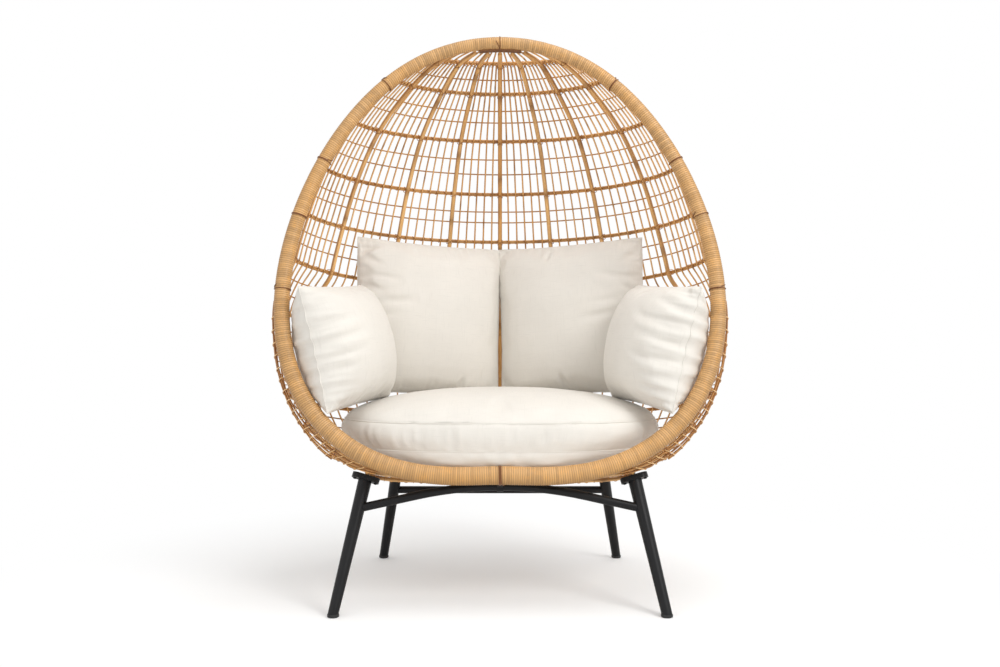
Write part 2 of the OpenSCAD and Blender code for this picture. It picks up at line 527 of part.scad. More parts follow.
// Two pillows press flat against each other at the middle of the chair
press_gap = 0.3;
function pressed(p) = [max(p[0], press_gap), p[1], p[2]];
PN = 12;
function ease(i) = sin(90 * (2 * i / PN - 1)) * 0.6 + (2 * i / PN - 1) * 0.4;
module pillow(c, x, size) {
  m = PN + 1;
  inner = PN - 1;
  face = [for (j = [0:PN]) for (i = [0:PN]) pressed(pillow_pt(c, x, size, ease(i), ease(j), 1))];
  back = [for (j = [1:PN - 1]) for (i = [1:PN - 1]) pressed(pillow_pt(c, x, size, ease(i), ease(j), -1))];
  function b(i, j) = i == 0 || j == 0 || i == PN || j == PN ? j * m + i : m * m + (j - 1) * inner + i - 1;
  polyhedron(concat(face, back), [for (j = [0:PN - 1])
      for (i = [0:PN - 1]) let(p = j * m + i, flip = (i < PN / 2) != (j < PN / 2))
    each concat(
      flip ? [[p, p + m, p + 1], [p + 1, p + m, p + m + 1]] : [[p, p + m, p + m + 1], [p, p + m + 1, p + 1]],
      flip ? [[b(i, j), b(i + 1, j), b(i, j + 1)], [b(i + 1, j), b(i + 1, j + 1), b(i, j + 1)]]
          : [[b(i, j), b(i + 1, j + 1), b(i, j + 1)], [b(i, j), b(i + 1, j), b(i + 1, j + 1)]])],
          convexity = 4);
}
// Uprights that a pillow can rest on: [inner face of the sheet's uprights]
LEAN_ON = [for (v = [4:0.4:10.8]) each concat([for (i = [0:3]) sheet(v, RIBS[i]) - out(v,
    RIBS[i]) * (rib_d + 2 * lap_gap)],
    [sheet(v, RIBS[4]) - out(v, RIBS[4]) * (side_rib_d + 2 * lap_gap)],
    [for (s = concat(IN1, IN2, OUT3, OUT4, OUTER)) sheet(v, s) - out(v, s) * (rod_d + 2 * lap_gap)])];
// Points of the rim's inner side that a side pillow can lean on
RIM_ON = [for (t = [68:4:128]) let(p = rim_p(t), a = rim_p(t + 0.5) - rim_p(t - 0.5),
    n = [0, -cos(rim_lean), sin(rim_lean)], w = cross(n, unit(a))) for (f = [-90:15:90]) p + rim_r(t)
    * (n * sin(f) + w * cos(f))];
// The cushions' faces lie a little inside the curves that they follow, so a pillow sits this close to the
// seat's curve
sit_gap = 0;
// Moves a pillow back until it meets the shell, and down until it meets the seat
function to_shell(c, x, size) = let(k = [for (q = concat(LEAN_ON, RIM_ON)) let(d = q - c,
    u = d * x[0] / (size[0] / 2), v = d * x[1] / (size[1] / 2)) if (abs(u) < 1.02 && abs(v)
    < 1.02 && d * x[2] < 0) -(d * x[2]) - size[2] / 2 * plump(u, v)])
    c - x[2] * (min(k) - soft_gap);
function to_seat(c, x, size) = let(k = [for (i = [0:PN]) for (j = [0:PN])
    for (f = [-1, 1]) let(p = pillow_pt(c, x, size, ease(i), ease(j), f)) p[2] - seat_top(p[0], p[1])])
    c - [0, 0, min(k) - sit_gap];
function settle(c, x, size, n) = n == 0 ? c : settle(to_seat(to_shell(c, x, size), x, size), x, size, n - 1);
// Moves a back pillow sideways until the lower end of its inner edge meets the middle of the chair
function to_middle(c, x, size) = c + [press_gap - pillow_pt(c, x, size, -1, -0.7, 0)[0], 0, 0];
BACK_AX = axes(20, 4, 3.4);
BACK_SIZE = [back_w, back_h, back_t];
BACK_C = to_middle(settle(to_middle(settle([215 * kx, 150, 780], BACK_AX, BACK_SIZE, 2), BACK_AX,
    BACK_SIZE), BACK_AX, BACK_SIZE, 2), BACK_AX, BACK_SIZE);
SIDE_AX = axes(71, 12.8, -3);
SIDE_SIZE = [side_w, side_h, side_t];
SIDE_C = settle([410 * kx, -125, 675], SIDE_AX, SIDE_SIZE, 4);
module back_pillow_left() color(cream) side(-1) pillow(BACK_C, BACK_AX, BACK_SIZE);
module back_pillow_right() color(cream) pillow(BACK_C, BACK_AX, BACK_SIZE);
module side_pillow_left() color(cream) side(-1) pillow(SIDE_C, SIDE_AX, SIDE_SIZE);
module side_pillow_right() color(cream) pillow(SIDE_C, SIDE_AX, SIDE_SIZE);

rim_left();
rim_right();
rim_ties();
foot_tie();
rib_centre();
rib_left_1();
rib_right_1();
rib_left_2();
rib_right_2();
rib_left_3();
rib_right_3();
rib_left_4();
rib_right_4();
hoop_0();
hoop_1();
hoop_2();
hoop_3();
hoop_4();
hoop_5();
hoop_6();
hoop_7();
hoop_8();
hoop_9();
hoop_10();
hoop_11();
hoop_12();
hoop_13();
rods_left_inner();
rods_right_inner();
rods_left_outer();
rods_right_outer();
rods_left_band();
rods_right_band();
thin_hoops_top();
thin_hoops_middle();
thin_hoops_low();
leg_front_left();
leg_front_right();
leg_back_left();
leg_back_right();
plate_front_left();
plate_front_right();
plate_back_left();
plate_back_right();
glide_front_left();
glide_front_right();
glide_back_left();
glide_back_right();
front_stretcher();
back_stretcher();
centre_clip();
plate_screws();
seat_cushion();
back_pillow_left();
back_pillow_right();
side_pillow_left();
side_pillow_right();
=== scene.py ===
"""Garden egg chair: a wound cane rim, an open rattan lattice, five cushions and a black steel base."""

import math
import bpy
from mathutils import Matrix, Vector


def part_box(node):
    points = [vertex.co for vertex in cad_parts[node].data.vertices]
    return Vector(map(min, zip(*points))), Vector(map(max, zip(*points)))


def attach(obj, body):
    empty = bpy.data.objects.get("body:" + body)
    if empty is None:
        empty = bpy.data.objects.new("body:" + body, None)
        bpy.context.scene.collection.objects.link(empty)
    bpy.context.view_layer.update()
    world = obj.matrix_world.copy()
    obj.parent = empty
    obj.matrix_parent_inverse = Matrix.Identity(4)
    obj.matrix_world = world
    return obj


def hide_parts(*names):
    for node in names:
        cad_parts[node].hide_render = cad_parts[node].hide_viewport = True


bl_info = {
    "name": "Garden Egg Chair",
    "version": (1, 0, 0),
    "blender": (4, 5, 0),
    "location": "3D View > Sidebar > Egg Chair",
    "description": "Builds the cane, rattan, steel and cloth pieces of a standing egg chair",
    "category": "Add Mesh",
}

import bmesh
import bpy
from bpy.props import FloatProperty, FloatVectorProperty, IntProperty, PointerProperty
from mathutils import Matrix, Vector, noise
from mathutils.bvhtree import BVHTree

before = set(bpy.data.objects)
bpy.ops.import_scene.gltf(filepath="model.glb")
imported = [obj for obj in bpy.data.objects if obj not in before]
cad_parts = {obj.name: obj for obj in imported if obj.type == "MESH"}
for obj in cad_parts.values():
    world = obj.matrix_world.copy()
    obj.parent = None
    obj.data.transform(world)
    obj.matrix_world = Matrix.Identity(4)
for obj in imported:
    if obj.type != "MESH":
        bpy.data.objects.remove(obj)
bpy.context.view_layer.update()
MM = 0.001
SIDES = ((-1, "left"), (1, "right"))

# ---- the shell's shape, in millimetres --------------------------------------------------------

# One row per thick hoop: place round the rim in degrees from its foot, middle of its back behind and above
# the foot, how far its sides bulge past the rim, the radius of that bulge, how closely the uprights are
# drawn in there, and the hoop's extra clearance.
HOOP_ROWS = (
    (166.9, 260, 1156, 0, 0.96, 1.35, 0), (157.0, 356, 1144, 0, 0.96, 1.16, 0),
    (145.6, 425, 1073, 0, 0.96, 1.10, 0), (130.9, 521, 951, 0, 0.96, 1.06, 0),
    (119.1, 590, 798, 0, 0.96, 1.03, 0), (109.5, 644, 654, 0, 0.86, 1.00, 0),
    (100.5, 668, 506, 0, 0.76, 1.00, 0.1), (91.4, 670, 358, 29, 0.62, 1.00, 0.3),
    (82.2, 645, 215, 37, 0.60, 1.00, 0.4), (73.0, 593, 105, 44, 0.56, 1.00, 0.8),
    (64.0, 493, 21, 47, 0.50, 1.00, 0.95), (54.0, 363, -29, 55, 0.48, 1.00, 0.6),
    (42.0, 223, -44, 63, 0.46, 1.00, 0.3), (20.0, 98, -23, 30, 0.50, 1.10, 0),
)
RIM_PLACE, BEHIND, ABOVE, BULGE, SHARE, DRAWN_IN, CLEARANCE = range(7)
LAST = len(HOOP_ROWS) - 1
THIN_ROWS = (1.586, 2.38, 2.62, 3.345, 3.613, 4.354, 4.58, 5.35, 5.62, 6.35,
             6.65, 7.35, 7.65, 8.35, 8.65, 9.35, 9.65, 10.35, 10.65, 11.5)
RIM_Y, FOOT_Z, LEAN = -307.5, 347.0, math.radians(10)
FACE = Vector((0, -math.cos(LEAN), math.sin(LEAN)))
# The rim's outline as sums of sines across and of cosines up its slope
RIM_ACROSS, RIM_UP, RIM_MIDDLE = (530.3, -30.7, -44.6, -10.7), (-635.4, 76.3, 44), 515.1
RIM_FOOT_R, RIM_TOP_R = 24, 17
LAP = 0.15
# The ribs' places run from the middle of the back to 1 at the rim, with rods spread evenly between them
RIBS = (0, 0.198, 0.410, 0.683, 0.923)
RODS_INNER = tuple(RIBS[i] + (RIBS[i + 1] - RIBS[i]) * k / 6 for i in (0, 1) for k in range(1, 6))
RODS_OUTER = tuple(RIBS[i] + (RIBS[i + 1] - RIBS[i]) * k / 7 for i in (2, 3) for k in range(1, 7))
RODS_OUTER += (RIBS[4] + 0.034,)
# Every second rod of a bay stops a hoop short
SHORT_RODS = [i % 2 == 0 for bay in (5, 5, 6, 6, 1) for i in range(bay)]
SHORT_TOP, SHORT_FOOT = 0.95, 12.06
# Rods of the band outside the hoops, and where those that would meet a front leg's plate end
BAND = (0.81, 0.852, 0.894, 0.935)
BAND_TOP, BAND_FOOT, PLATE_END, BAND_GAP = 6.94, 12.06, 0.88, 0.45


def row(column, v):
    """One column of the table at the row v, smoothly between its rows."""
    v = min(max(v, 0), LAST)
    i = min(int(v), LAST - 1)
    f = v - i
    b, c = HOOP_ROWS[i][column], HOOP_ROWS[i + 1][column]
    a = HOOP_ROWS[i - 1][column] if i > 0 else 2 * b - c
    d = HOOP_ROWS[i + 2][column] if i + 2 <= LAST else 2 * c - b
    return (2 * b + (c - a) * f + (2 * a - 5 * b + 4 * c - d) * f * f + (3 * b - a - 3 * c + d) * f ** 3) / 2


def rim_point(t):
    """The rim's centre line, t degrees round from its foot."""
    a = math.radians(t)
    x = sum(k * math.sin((i + 1) * a) for i, k in enumerate(RIM_ACROSS))
    u = sum((k * math.cos((i + 1) * a) for i, k in enumerate(RIM_UP)), RIM_MIDDLE)
    return Vector((x, RIM_Y + u * math.sin(LEAN), FOOT_Z + u * math.cos(LEAN)))


def rim_radius(t):
    return RIM_FOOT_R - (RIM_FOOT_R - RIM_TOP_R) * ((1 - math.cos(math.radians(t))) / 2) ** 1.2


RIM_LINE = [(rim_point(t * 0.75), rim_radius(t * 0.75)) for t in range(241)]


def rim_gap(p, rim):
    """How far the point p lies off the rim's surface."""
    return min((p - c).length - r for c, r in rim)


def back_point(v):
    return Vector((0, RIM_Y + row(BEHIND, v), FOOT_Z + row(ABOVE, v)))


def hoop_arcs(width, depth, bulge, share):
    """Side radius, back radius, the angle where they meet and the angle where the hoop ends."""
    r = (width * width + depth * depth) / (2 * depth)
    a = math.atan2(width, r - depth)
    own = r - width if a > math.pi / 2 else 0
    if bulge <= max(own, 0.1):
        return r, r, a, a
    side = share * depth
    end = math.pi - math.asin(1 - bulge / side)
    f, g = width + bulge - side, depth - side * (1 - math.cos(end))
    meet = 2 * math.atan2(g, f)
    return side, side + f / math.sin(meet), meet, end


def hoop_through(p, q, v):
    """The hoop from p at the rim to q at the back: its middle, direction, depth and arcs."""
    middle = Vector((0, p.y, p.z))
    depth = (q - middle).length
    return middle, (q - middle) / depth, depth, hoop_arcs(p.x, depth, max(0, row(BULGE, v)), row(SHARE, v))


def hoop_point(h, a):
    """A point of the hoop h at the angle a from the middle of its back."""
    side, back, meet, _ = h[3]
    if abs(a) <= meet:
        x, w = back * math.sin(abs(a)), back * math.cos(a) - back
    else:
        c = back - side
        x, w = c * math.sin(meet) + side * math.sin(abs(a)), c * math.cos(meet) + side * math.cos(a) - back
    return h[0] + h[1] * (h[2] + w) + Vector((math.copysign(x, a), 0, 0))


_rows_made = {}


def sheet_hoop(v):
    if v not in _rows_made:
        _rows_made[v] = hoop_through(rim_point(row(RIM_PLACE, v)), back_point(v), v)
    return _rows_made[v]


def sheet(v, s):
    """The sheet on which hoops and uprights touch: v counts hoops down, s runs to 1 at the right of the rim."""
    h = sheet_hoop(v)
    side, back, meet, end = h[3]
    run = abs(s) * row(DRAWN_IN, v) * (back * meet + side * (end - meet))
    a = run / back if run <= back * meet else meet + (run - back * meet) / side
    return hoop_point(h, math.copysign(a, s) if s else 0)


def outward(v, s):
    down = sheet(min(v + 0.01, LAST), s) - sheet(max(v - 0.01, 0), s)
    across = sheet(v, s + 0.004) - sheet(v, s - 0.004)
    return across.cross(down).normalized()


def hoop_line(v, thick):
    """A hoop of that thickness, outside the sheet: its points from left to right, and their normals."""
    lift = thick / 2 + LAP + max(0, row(CLEARANCE, v))
    edge = 0.999 / row(DRAWN_IN, v)
    h = hoop_through(sheet(v, edge) + lift * outward(v, edge), back_point(v) + lift * outward(v, 0), v)
    near, far = h[3][3] / 3, h[3][3]
    rim = [(rim_point(t), rim_radius(t)) for t in (max(4, row(RIM_PLACE, v) - 12) + i * 0.4 for i in range(60))]
    for _ in range(12):
        mid = (near + far) / 2
        near, far = (mid, far) if rim_gap(hoop_point(h, mid), rim) > thick * 0.35 else (near, mid)
    count = max(24, int(near * h[3][1] / 9))
    line = [hoop_point(h, near * (2 * i / count - 1)) for i in range(count + 1)]
    return line, [h[1].cross(Vector((1, 0, 0)))] * len(line)


def upright_ends(s, thick):
    """The first and the last row at which an upright at s is tucked against the rim."""
    def clears(v):
        p = sheet(v, s) - outward(v, s) * (thick / 2 + LAP)
        p.x = abs(p.x)
        return rim_gap(p, RIM_LINE) > thick * 0.3

    def edge(bad, good):
        for _ in range(8):
            mid = (bad + good) / 2
            bad, good = (bad, mid) if clears(mid) else (mid, good)
        return good

    low = [v / 4 for v in range(33) if not clears(v / 4)]
    high = [8 + v / 4 for v in range(21) if not clears(8 + v / 4)]
    return edge(low[-1], low[-1] + 0.25) if low else 0, edge(high[0], high[0] - 0.25) if high else LAST


def upright_line(v0, v1, s, thick, step):
    """An upright inside the sheet at s: its points and the directions out of the sheet."""
    count = max(8, int((v1 - v0) / step))
    places = [v0 + (v1 - v0) * i / count for i in range(count + 1)]
    out = [outward(v, s) for v in places]
    return [sheet(v, s) - o * (thick / 2 + LAP) for v, o in zip(places, out)], out


# ---- swept cane ---------------------------------------------------------------------------------

def cane_mesh():
    """An empty bmesh with the layers that swept cane carries."""
    bm = bmesh.new()
    bm.verts.layers.float_vector.new("grain")
    bm.verts.layers.int.new("spoke")
    for layer in ("joint", "turn", "tint"):
        bm.verts.layers.float.new(layer)
    return bm


def ring_edges(ring):
    return list({e for v in ring for e in v.link_edges})


def next_ring(bm, edges):
    """Extrudes a ring of edges by nothing, and gives the new ring's edges and vertices."""
    got = bmesh.ops.extrude_edge_only(bm, edges=edges)["geom"]
    return ([e for e in got if isinstance(e, bmesh.types.BMEdge) and e.is_boundary],
            [v for v in got if isinstance(v, bmesh.types.BMVert)])


def sweep(bm, spine, normals, radii, sides, start=0.0, tilt=None, closed=False):
    """Extrudes a round section along the spine, in millimetres.

    The layer 'grain' keeps each vertex's place on the straightened cane. A closed sweep joins its two ends.
    """
    grain, spoke = bm.verts.layers.float_vector["grain"], bm.verts.layers.int["spoke"]
    turn = [(math.cos(math.tau * k / sides), math.sin(math.tau * k / sides)) for k in range(sides)]
    last, run = len(spine) - 1, start
    ring = bmesh.ops.create_circle(bm, segments=sides, radius=1)["verts"]
    for k, v in enumerate(ring):
        v[spoke] = k
    edges = ring_edges(ring)
    made, first = [], edges
    for i, p in enumerate(spine):
        if i:
            edges, ring = next_ring(bm, edges)
            run += (p - spine[i - 1]).length
        ahead = spine[(i + 1) % (last + 1)] if closed else spine[min(i + 1, last)]
        behind = spine[i - 1] if closed else spine[max(i - 1, 0)]
        along = (ahead - behind).normalized()
        n = (normals[i] - along * normals[i].dot(along)).normalized()
        b = along.cross(n)
        r = radii[i]
        for v in ring:
            c, s = turn[v[spoke]]
            v.co = (p + (n * c + b * s) * r + (along * tilt(run, c, s) if tilt else Vector())) * MM
            v[grain] = (c * r * MM, s * r * MM, run * MM)
        made += ring
    if closed:
        bmesh.ops.bridge_loops(bm, edges=first + edges)
    else:
        bmesh.ops.edgeloop_fill(bm, edges=first)
        bmesh.ops.edgeloop_fill(bm, edges=edges)
    bmesh.ops.recalc_face_normals(bm, faces=list({f for v in made for f in v.link_faces}))
    return made


def cane_radii(spine, thick, seed, joint_every):
    """Radii of a natural cane: slow swells, and a low ring at each of its joints."""
    run, out, marks = 0.0, [], []
    for i, p in enumerate(spine):
        run += (p - spine[i - 1]).length if i else 0
        place = run + 90 * noise.noise((seed * 3.7, 0, run * 0.002)) + seed * 71
        off = abs((place / joint_every + 0.5) % 1 - 0.5) * joint_every
        ring = math.exp(-(off / max(6.0, thick)) ** 2)
        out.append(thick / 2 * (1 + 0.03 * noise.noise((seed, run * 0.012, 0)) + 0.06 * ring))
        marks.append(ring)
    return out, marks


def natural_cane(bm, line, thick, sides, seed, tone, joint_every, wander=0.0):
    """One length of rattan with its joints, a little off straight; line holds its points and normals."""
    spine, normals = line
    if wander:
        spine = [p + wander * noise.noise_vector((seed * 5.1, i * 0.11, 1.0)) for i, p in enumerate(spine)]
    radii, marks = cane_radii(spine, thick, seed, joint_every)
    joint, tint = bm.verts.layers.float["joint"], bm.verts.layers.float["tint"]
    own = tone + 0.35 * noise.noise((seed * 9.7, 3.3, 0))
    for k, v in enumerate(sweep(bm, spine, normals, radii, sides, seed * 1700.0)):
        v[joint] = marks[k // sides]
        v[tint] = own


CREASE = 40


def finish_piece(bm, name, kind, node=None, crease=0):
    """Makes the object, shades it, rides it on the body and lets it stand for its CAD node."""
    mesh = bpy.data.meshes.new(name)
    bm.to_mesh(mesh)
    bm.free()
    mesh.materials.append(material(kind))
    obj = bpy.data.objects.new(name, mesh)
    bpy.context.scene.collection.objects.link(obj)
    mesh.shade_smooth()
    if crease:
        mesh.set_sharp_from_angle(angle=math.radians(crease))
    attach(obj, "root")
    if node:
        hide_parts(node)
    return obj


# ---- materials ----------------------------------------------------------------------------------

class Bench:
    """A small bench for wiring the nodes of one material or world."""

    def __init__(self, owners, name, **principled):
        self.made = owners.new(name)
        self.made.use_nodes = True
        self.tree = self.made.node_tree
        for key, value in principled.items():
            self.input(key).default_value = value

    def input(self, key):
        return self.tree.nodes["Principled BSDF"].inputs[key.replace("_", " ")]

    def set(self, socket, value):
        if isinstance(value, bpy.types.NodeSocket):
            self.tree.links.new(value, socket)
        else:
            socket.default_value = (*value, 1) if socket.type == "RGBA" else value

    def add(self, kind, inputs=None, **settings):
        node = self.tree.nodes.new(kind)
        for key, value in settings.items():
            setattr(node, key, value)
        for key, value in (inputs or {}).items():
            self.set(node.inputs[key], value)
        return node

    def into(self, **sockets):
        for key, value in sockets.items():
            self.set(self.input(key), value)

    def surface(self, shader, output):
        self.tree.links.new(shader.outputs[0], self.tree.nodes[output].inputs["Surface"])

    def math(self, operation, a, b=0.0):
        return self.add("ShaderNodeMath", {0: a, 1: b}, operation=operation).outputs[0]

    def noise(self, vector, scale, detail=3.0, rough=0.55):
        """Noise at a scale that is one number, or three where it is stretched."""
        if isinstance(scale, tuple):
            vector, scale = self.stretched(vector, scale), 1.0
        inputs = {"Vector": vector, "Scale": scale, "Detail": detail, "Roughness": rough}
        return self.add("ShaderNodeTexNoise", inputs).outputs[0]

    def stretched(self, vector, scale):
        return self.add("ShaderNodeMapping", {"Vector": vector, "Scale": scale}).outputs[0]

    def ramp(self, factor, *colours):
        """Blends evenly through the colours."""
        node = self.add("ShaderNodeValToRGB", {0: factor})
        points = node.color_ramp.elements
        while len(points) < len(colours):
            points.new(0.5)
        for i, colour in enumerate(colours):
            points[i].position, points[i].color = i / (len(colours) - 1), (*colour, 1)
        return node.outputs[0]

    def mix(self, factor, a, b):
        node = self.add("ShaderNodeMix", data_type="RGBA")
        for socket, value in zip((0, 6, 7), (factor, a, b)):
            self.set(node.inputs[socket], value)
        return node.outputs[2]

    def span(self, value, low, high, to_low=0.0, to_high=1.0):
        return self.add("ShaderNodeMapRange", {0: value, 1: low, 2: high, 3: to_low, 4: to_high}).outputs[0]

    def stain_and_shade(self, base, colour, value, low, high, amount):
        """Tints the base where the value runs from low to high, up to that amount; used for real stains and for
        painted shade.
        """
        return self.mix(self.span(value, low, high, 0.0, amount), base, colour)

    def attribute(self, name, output="Fac"):
        return self.add("ShaderNodeAttribute", attribute_name=name).outputs[output]

    def place(self):
        return self.add("ShaderNodeTexCoord").outputs["Object"]

    def split(self, vector):
        return self.add("ShaderNodeSeparateXYZ", {0: vector}).outputs

    def bump(self, height, strength, distance):
        inputs = {"Height": height, "Strength": strength, "Distance": distance}
        return self.add("ShaderNodeBump", inputs).outputs[0]

    def seen(self):
        """Sockets that are 1 for camera rays, and for camera rays and those of reflections and glass."""
        ray = self.add("ShaderNodeLightPath").outputs
        other = self.math("MAXIMUM", ray["Is Glossy Ray"], ray["Is Transmission Ray"])
        return ray["Is Camera Ray"], self.math("MAXIMUM", ray["Is Camera Ray"], other)


def shade(colour, by):
    return tuple(c * by for c in colour)


def rattan_material(name, pale, colour, dark):
    """Peeled rattan: long fibres, each cane its own tint, darker flanks that are partly stain and partly
    painted contact shade, and darker rings at the joints.
    """
    m = Bench(bpy.data.materials, name, Roughness=0.5, Coat_Weight=0.12, Coat_Roughness=0.3)
    grain, joint = m.attribute("grain", "Vector"), m.attribute("joint")
    fibre = m.noise(grain, (900, 900, 14), 4.0, 0.65)
    broad = m.noise(grain, (60, 60, 7), 3.0, 0.6)
    slow = m.noise(grain, (8, 8, 1.6), 2.0)
    shift = m.math("MULTIPLY", m.math("SUBTRACT", slow, 0.5), 0.9)
    base = m.ramp(m.math("ADD", m.attribute("tint"), shift), pale, colour, dark)
    base = m.stain_and_shade(base, shade(dark, 0.9), broad, 0.42, 0.8, 0.75)
    base = m.stain_and_shade(base, shade(dark, 0.6), fibre, 0.5, 0.72, 0.4)
    base = m.stain_and_shade(base, shade(dark, 0.5), joint, 0.0, 1.0, 0.6)
    x, y, _ = m.split(grain)
    across = m.math("ABSOLUTE", y)
    girth = m.math("SQRT", m.math("ADD", m.math("MULTIPLY", x, x), m.math("MULTIPLY", across, across)))
    # Darker flanks across each cane's normal: painted contact shade between neighbouring canes, with some real
    # stain
    base = m.stain_and_shade(base, shade(dark, 0.8), m.math("DIVIDE", across, girth), 0.72, 1.0, 0.6)
    m.into(Base_Color=base, Roughness=m.span(fibre, 0.3, 0.7, 0.42, 0.62),
           Normal=m.bump(m.math("SUBTRACT", fibre, joint), 0.35, 0.0006))
    return m.made


def wound_material(name, colour, dark):
    """Flat cane wound turn by turn: each turn its own tint, painted shade in the gaps between the turns and on
    the rim's outer edge.
    """
    m = Bench(bpy.data.materials, name, Roughness=0.5, Coat_Weight=0.1, Coat_Roughness=0.3)
    grain, turns = m.attribute("grain", "Vector"), m.attribute("turn")
    own = m.add("ShaderNodeTexWhiteNoise", {"W": m.math("FLOOR", turns)}, noise_dimensions="1D").outputs[0]
    gap = m.math("ABSOLUTE", m.math("SUBTRACT", m.math("FRACT", turns), 0.5))
    fibre = m.noise(grain, (30, 30, 2400), 3.0, 0.6)
    spots = m.noise(grain, (40, 40, 30), 4.0, 0.62)
    slow = m.noise(grain, (6, 6, 3), 2.0)
    base = m.mix(own, shade(colour, 0.72), shade(colour, 1.1))
    base = m.stain_and_shade(base, dark, slow, 0.4, 0.7, 0.4)
    base = m.stain_and_shade(base, dark, spots, 0.5, 0.78, 0.8)
    base = m.stain_and_shade(base, shade(dark, 0.8), fibre, 0.5, 0.75, 0.25)
    # The tint layer grows towards the rim's outer side: painted shade on the outer edge
    base = m.stain_and_shade(base, shade(dark, 0.5), m.attribute("tint"), 0.0, 1.0, 0.9)
    # Darker gaps between the turns: painted shade in the grooves
    base = m.stain_and_shade(base, shade(dark, 0.3), gap, 0.33, 0.5, 0.85)
    m.into(Base_Color=base, Roughness=m.span(fibre, 0.3, 0.7, 0.42, 0.6), Normal=m.bump(fibre, 0.2, 0.0004))
    return m.made


def steel_material(name, colour):
    """Satin powder coat: a fine orange peel, a few softer patches."""
    m = Bench(bpy.data.materials, name, Coat_Weight=0.03, Coat_Roughness=0.4, Specular_IOR_Level=0.22)
    peel, wear = m.noise(m.place(), 900.0, 2.0), m.noise(m.place(), 14.0, 4.0)
    m.into(Base_Color=m.mix(m.span(wear, 0.35, 0.7), colour, shade(colour, 1.5)),
           Roughness=m.span(wear, 0.3, 0.7, 0.34, 0.5), Normal=m.bump(peel, 0.18, 0.0003))
    return m.made


def rubber_material(name, colour):
    m = Bench(bpy.data.materials, name)
    scuff = m.noise(m.place(), (60, 60, 260), 4.0, 0.7)
    m.into(Base_Color=m.mix(m.span(scuff, 0.45, 0.8), colour, shade(colour, 2.4)),
           Roughness=m.span(scuff, 0.3, 0.7, 0.62, 0.85), Normal=m.bump(scuff, 0.2, 0.0004))
    return m.made


def cloth_material(name, colour, thread):
    """Woven cover: a plain weave of uneven threads with slubs, a soft nap and faint changes of tone."""
    m = Bench(bpy.data.materials, name, Roughness=0.85, Sheen_Weight=0.25, Sheen_Roughness=0.45)
    cloth = m.attribute("cloth", "Vector")
    x, y, _ = m.split(m.stretched(cloth, (1 / thread, 1 / thread, 1)))
    wander = m.math("MULTIPLY", m.math("SUBTRACT", m.noise(cloth, 90.0, 2.0), 0.5), 1.1)
    warp, weft = (m.math("SINE", m.math("MULTIPLY", m.math("ADD", way, wander), math.pi)) for way in (x, y))
    weave = m.math("MULTIPLY", warp, weft)
    slubs = m.math("MAXIMUM", m.noise(cloth, (500, 24, 1), 2.0), m.noise(cloth, (24, 500, 1), 2.0))
    base = m.mix(m.span(m.noise(cloth, 9.0), 0.3, 0.7), shade(colour, 0.97), shade(colour, 1.02))
    base = m.stain_and_shade(base, shade(colour, 0.8), slubs, 0.56, 0.75, 0.3)
    base = m.stain_and_shade(base, shade(colour, 0.72), weave, -1.0, 1.0, 0.14)
    height = m.math("ADD", m.math("MULTIPLY", weave, 0.5), slubs)
    m.into(Base_Color=base, Normal=m.bump(height, 0.3, 0.0004))
    return m.made


_made_materials = {}


def material(kind):
    """The chair's materials, made once from the colours in the panel."""
    if not _made_materials:
        s = bpy.context.scene
        cane, base, cushions = s.egg_chair_cane, s.egg_chair_base, s.egg_chair_cushions
        pale, rattan, dark = tuple(cane.pale), tuple(cane.rattan), tuple(cane.dark)
        _made_materials.update(
            wound=wound_material("Wound Cane", tuple(cane.wound), rattan),
            rattan=rattan_material("Rattan", pale, rattan, dark),
            tie=rattan_material("Dark Cane", shade(dark, 0.8), shade(dark, 0.5), shade(dark, 0.3)),
            steel=steel_material("Satin Black Steel", tuple(base.steel)),
            rubber=rubber_material("Glide Rubber", tuple(base.rubber)),
            cloth=cloth_material("Cream Cloth", tuple(cushions.cloth), cushions.thread),
        )
    return _made_materials[kind]


# ---- sizes and colours that can be set ----------------------------------------------------------

def length_prop(name, text, size, low, high):
    return FloatProperty(name=name, description=text, default=size * MM, min=low * MM, max=high * MM,
                         unit="LENGTH")


def colour_prop(name, text, default):
    return FloatVectorProperty(name=name, description=text, default=default, min=0, max=1, size=3,
                               subtype="COLOR")


def number_prop(name, text, default, low, high, **kind):
    return FloatProperty(name=name, description=text, default=default, min=low, max=high, **kind)


class EggChairCane(bpy.types.PropertyGroup):
    strand: length_prop("Strand", "Width of the cane wound round the rim", 5.7, 2, 12)
    relief: length_prop("Relief", "Depth of the gaps between the turns", 0.9, 0, 3)
    rib: length_prop("Rib", "Thickness of the seven main uprights", 13, 6, 20)
    hoop: length_prop("Hoop", "Thickness of the main hoops", 11, 6, 20)
    side_rib: length_prop("Side rib", "Thickness of the two uprights beside the rim", 7, 4, 12)
    rod: length_prop("Rod", "Thickness of the thin uprights", 4.8, 2, 9)
    thin: length_prop("Thin hoop", "Thickness of the thin hoops", 4, 2, 9)
    lash: length_prop("Lashing", "Thickness of the cane that ties uprights to hoops", 1.5, 0.8, 3)
    sides: IntProperty(name="Sides", description="Sides of the wound rim's section", default=20, min=8, max=48)
    wound: colour_prop("Wound cane", "Colour of the cane round the rim", (0.60, 0.35, 0.145))
    pale: colour_prop("Pale rattan", "Colour of the palest canes", (0.92, 0.58, 0.24))
    # Rattan also paints shade in the wound rim's gaps and on its outer edge; dark also paints shade along the
    # canes' flanks
    rattan: colour_prop("Rattan", "Colour of most ribs, rods and hoops", (0.76, 0.385, 0.105))
    dark: colour_prop("Dark cane", "Colour of the darkest canes, ties and stains", (0.30, 0.11, 0.024))


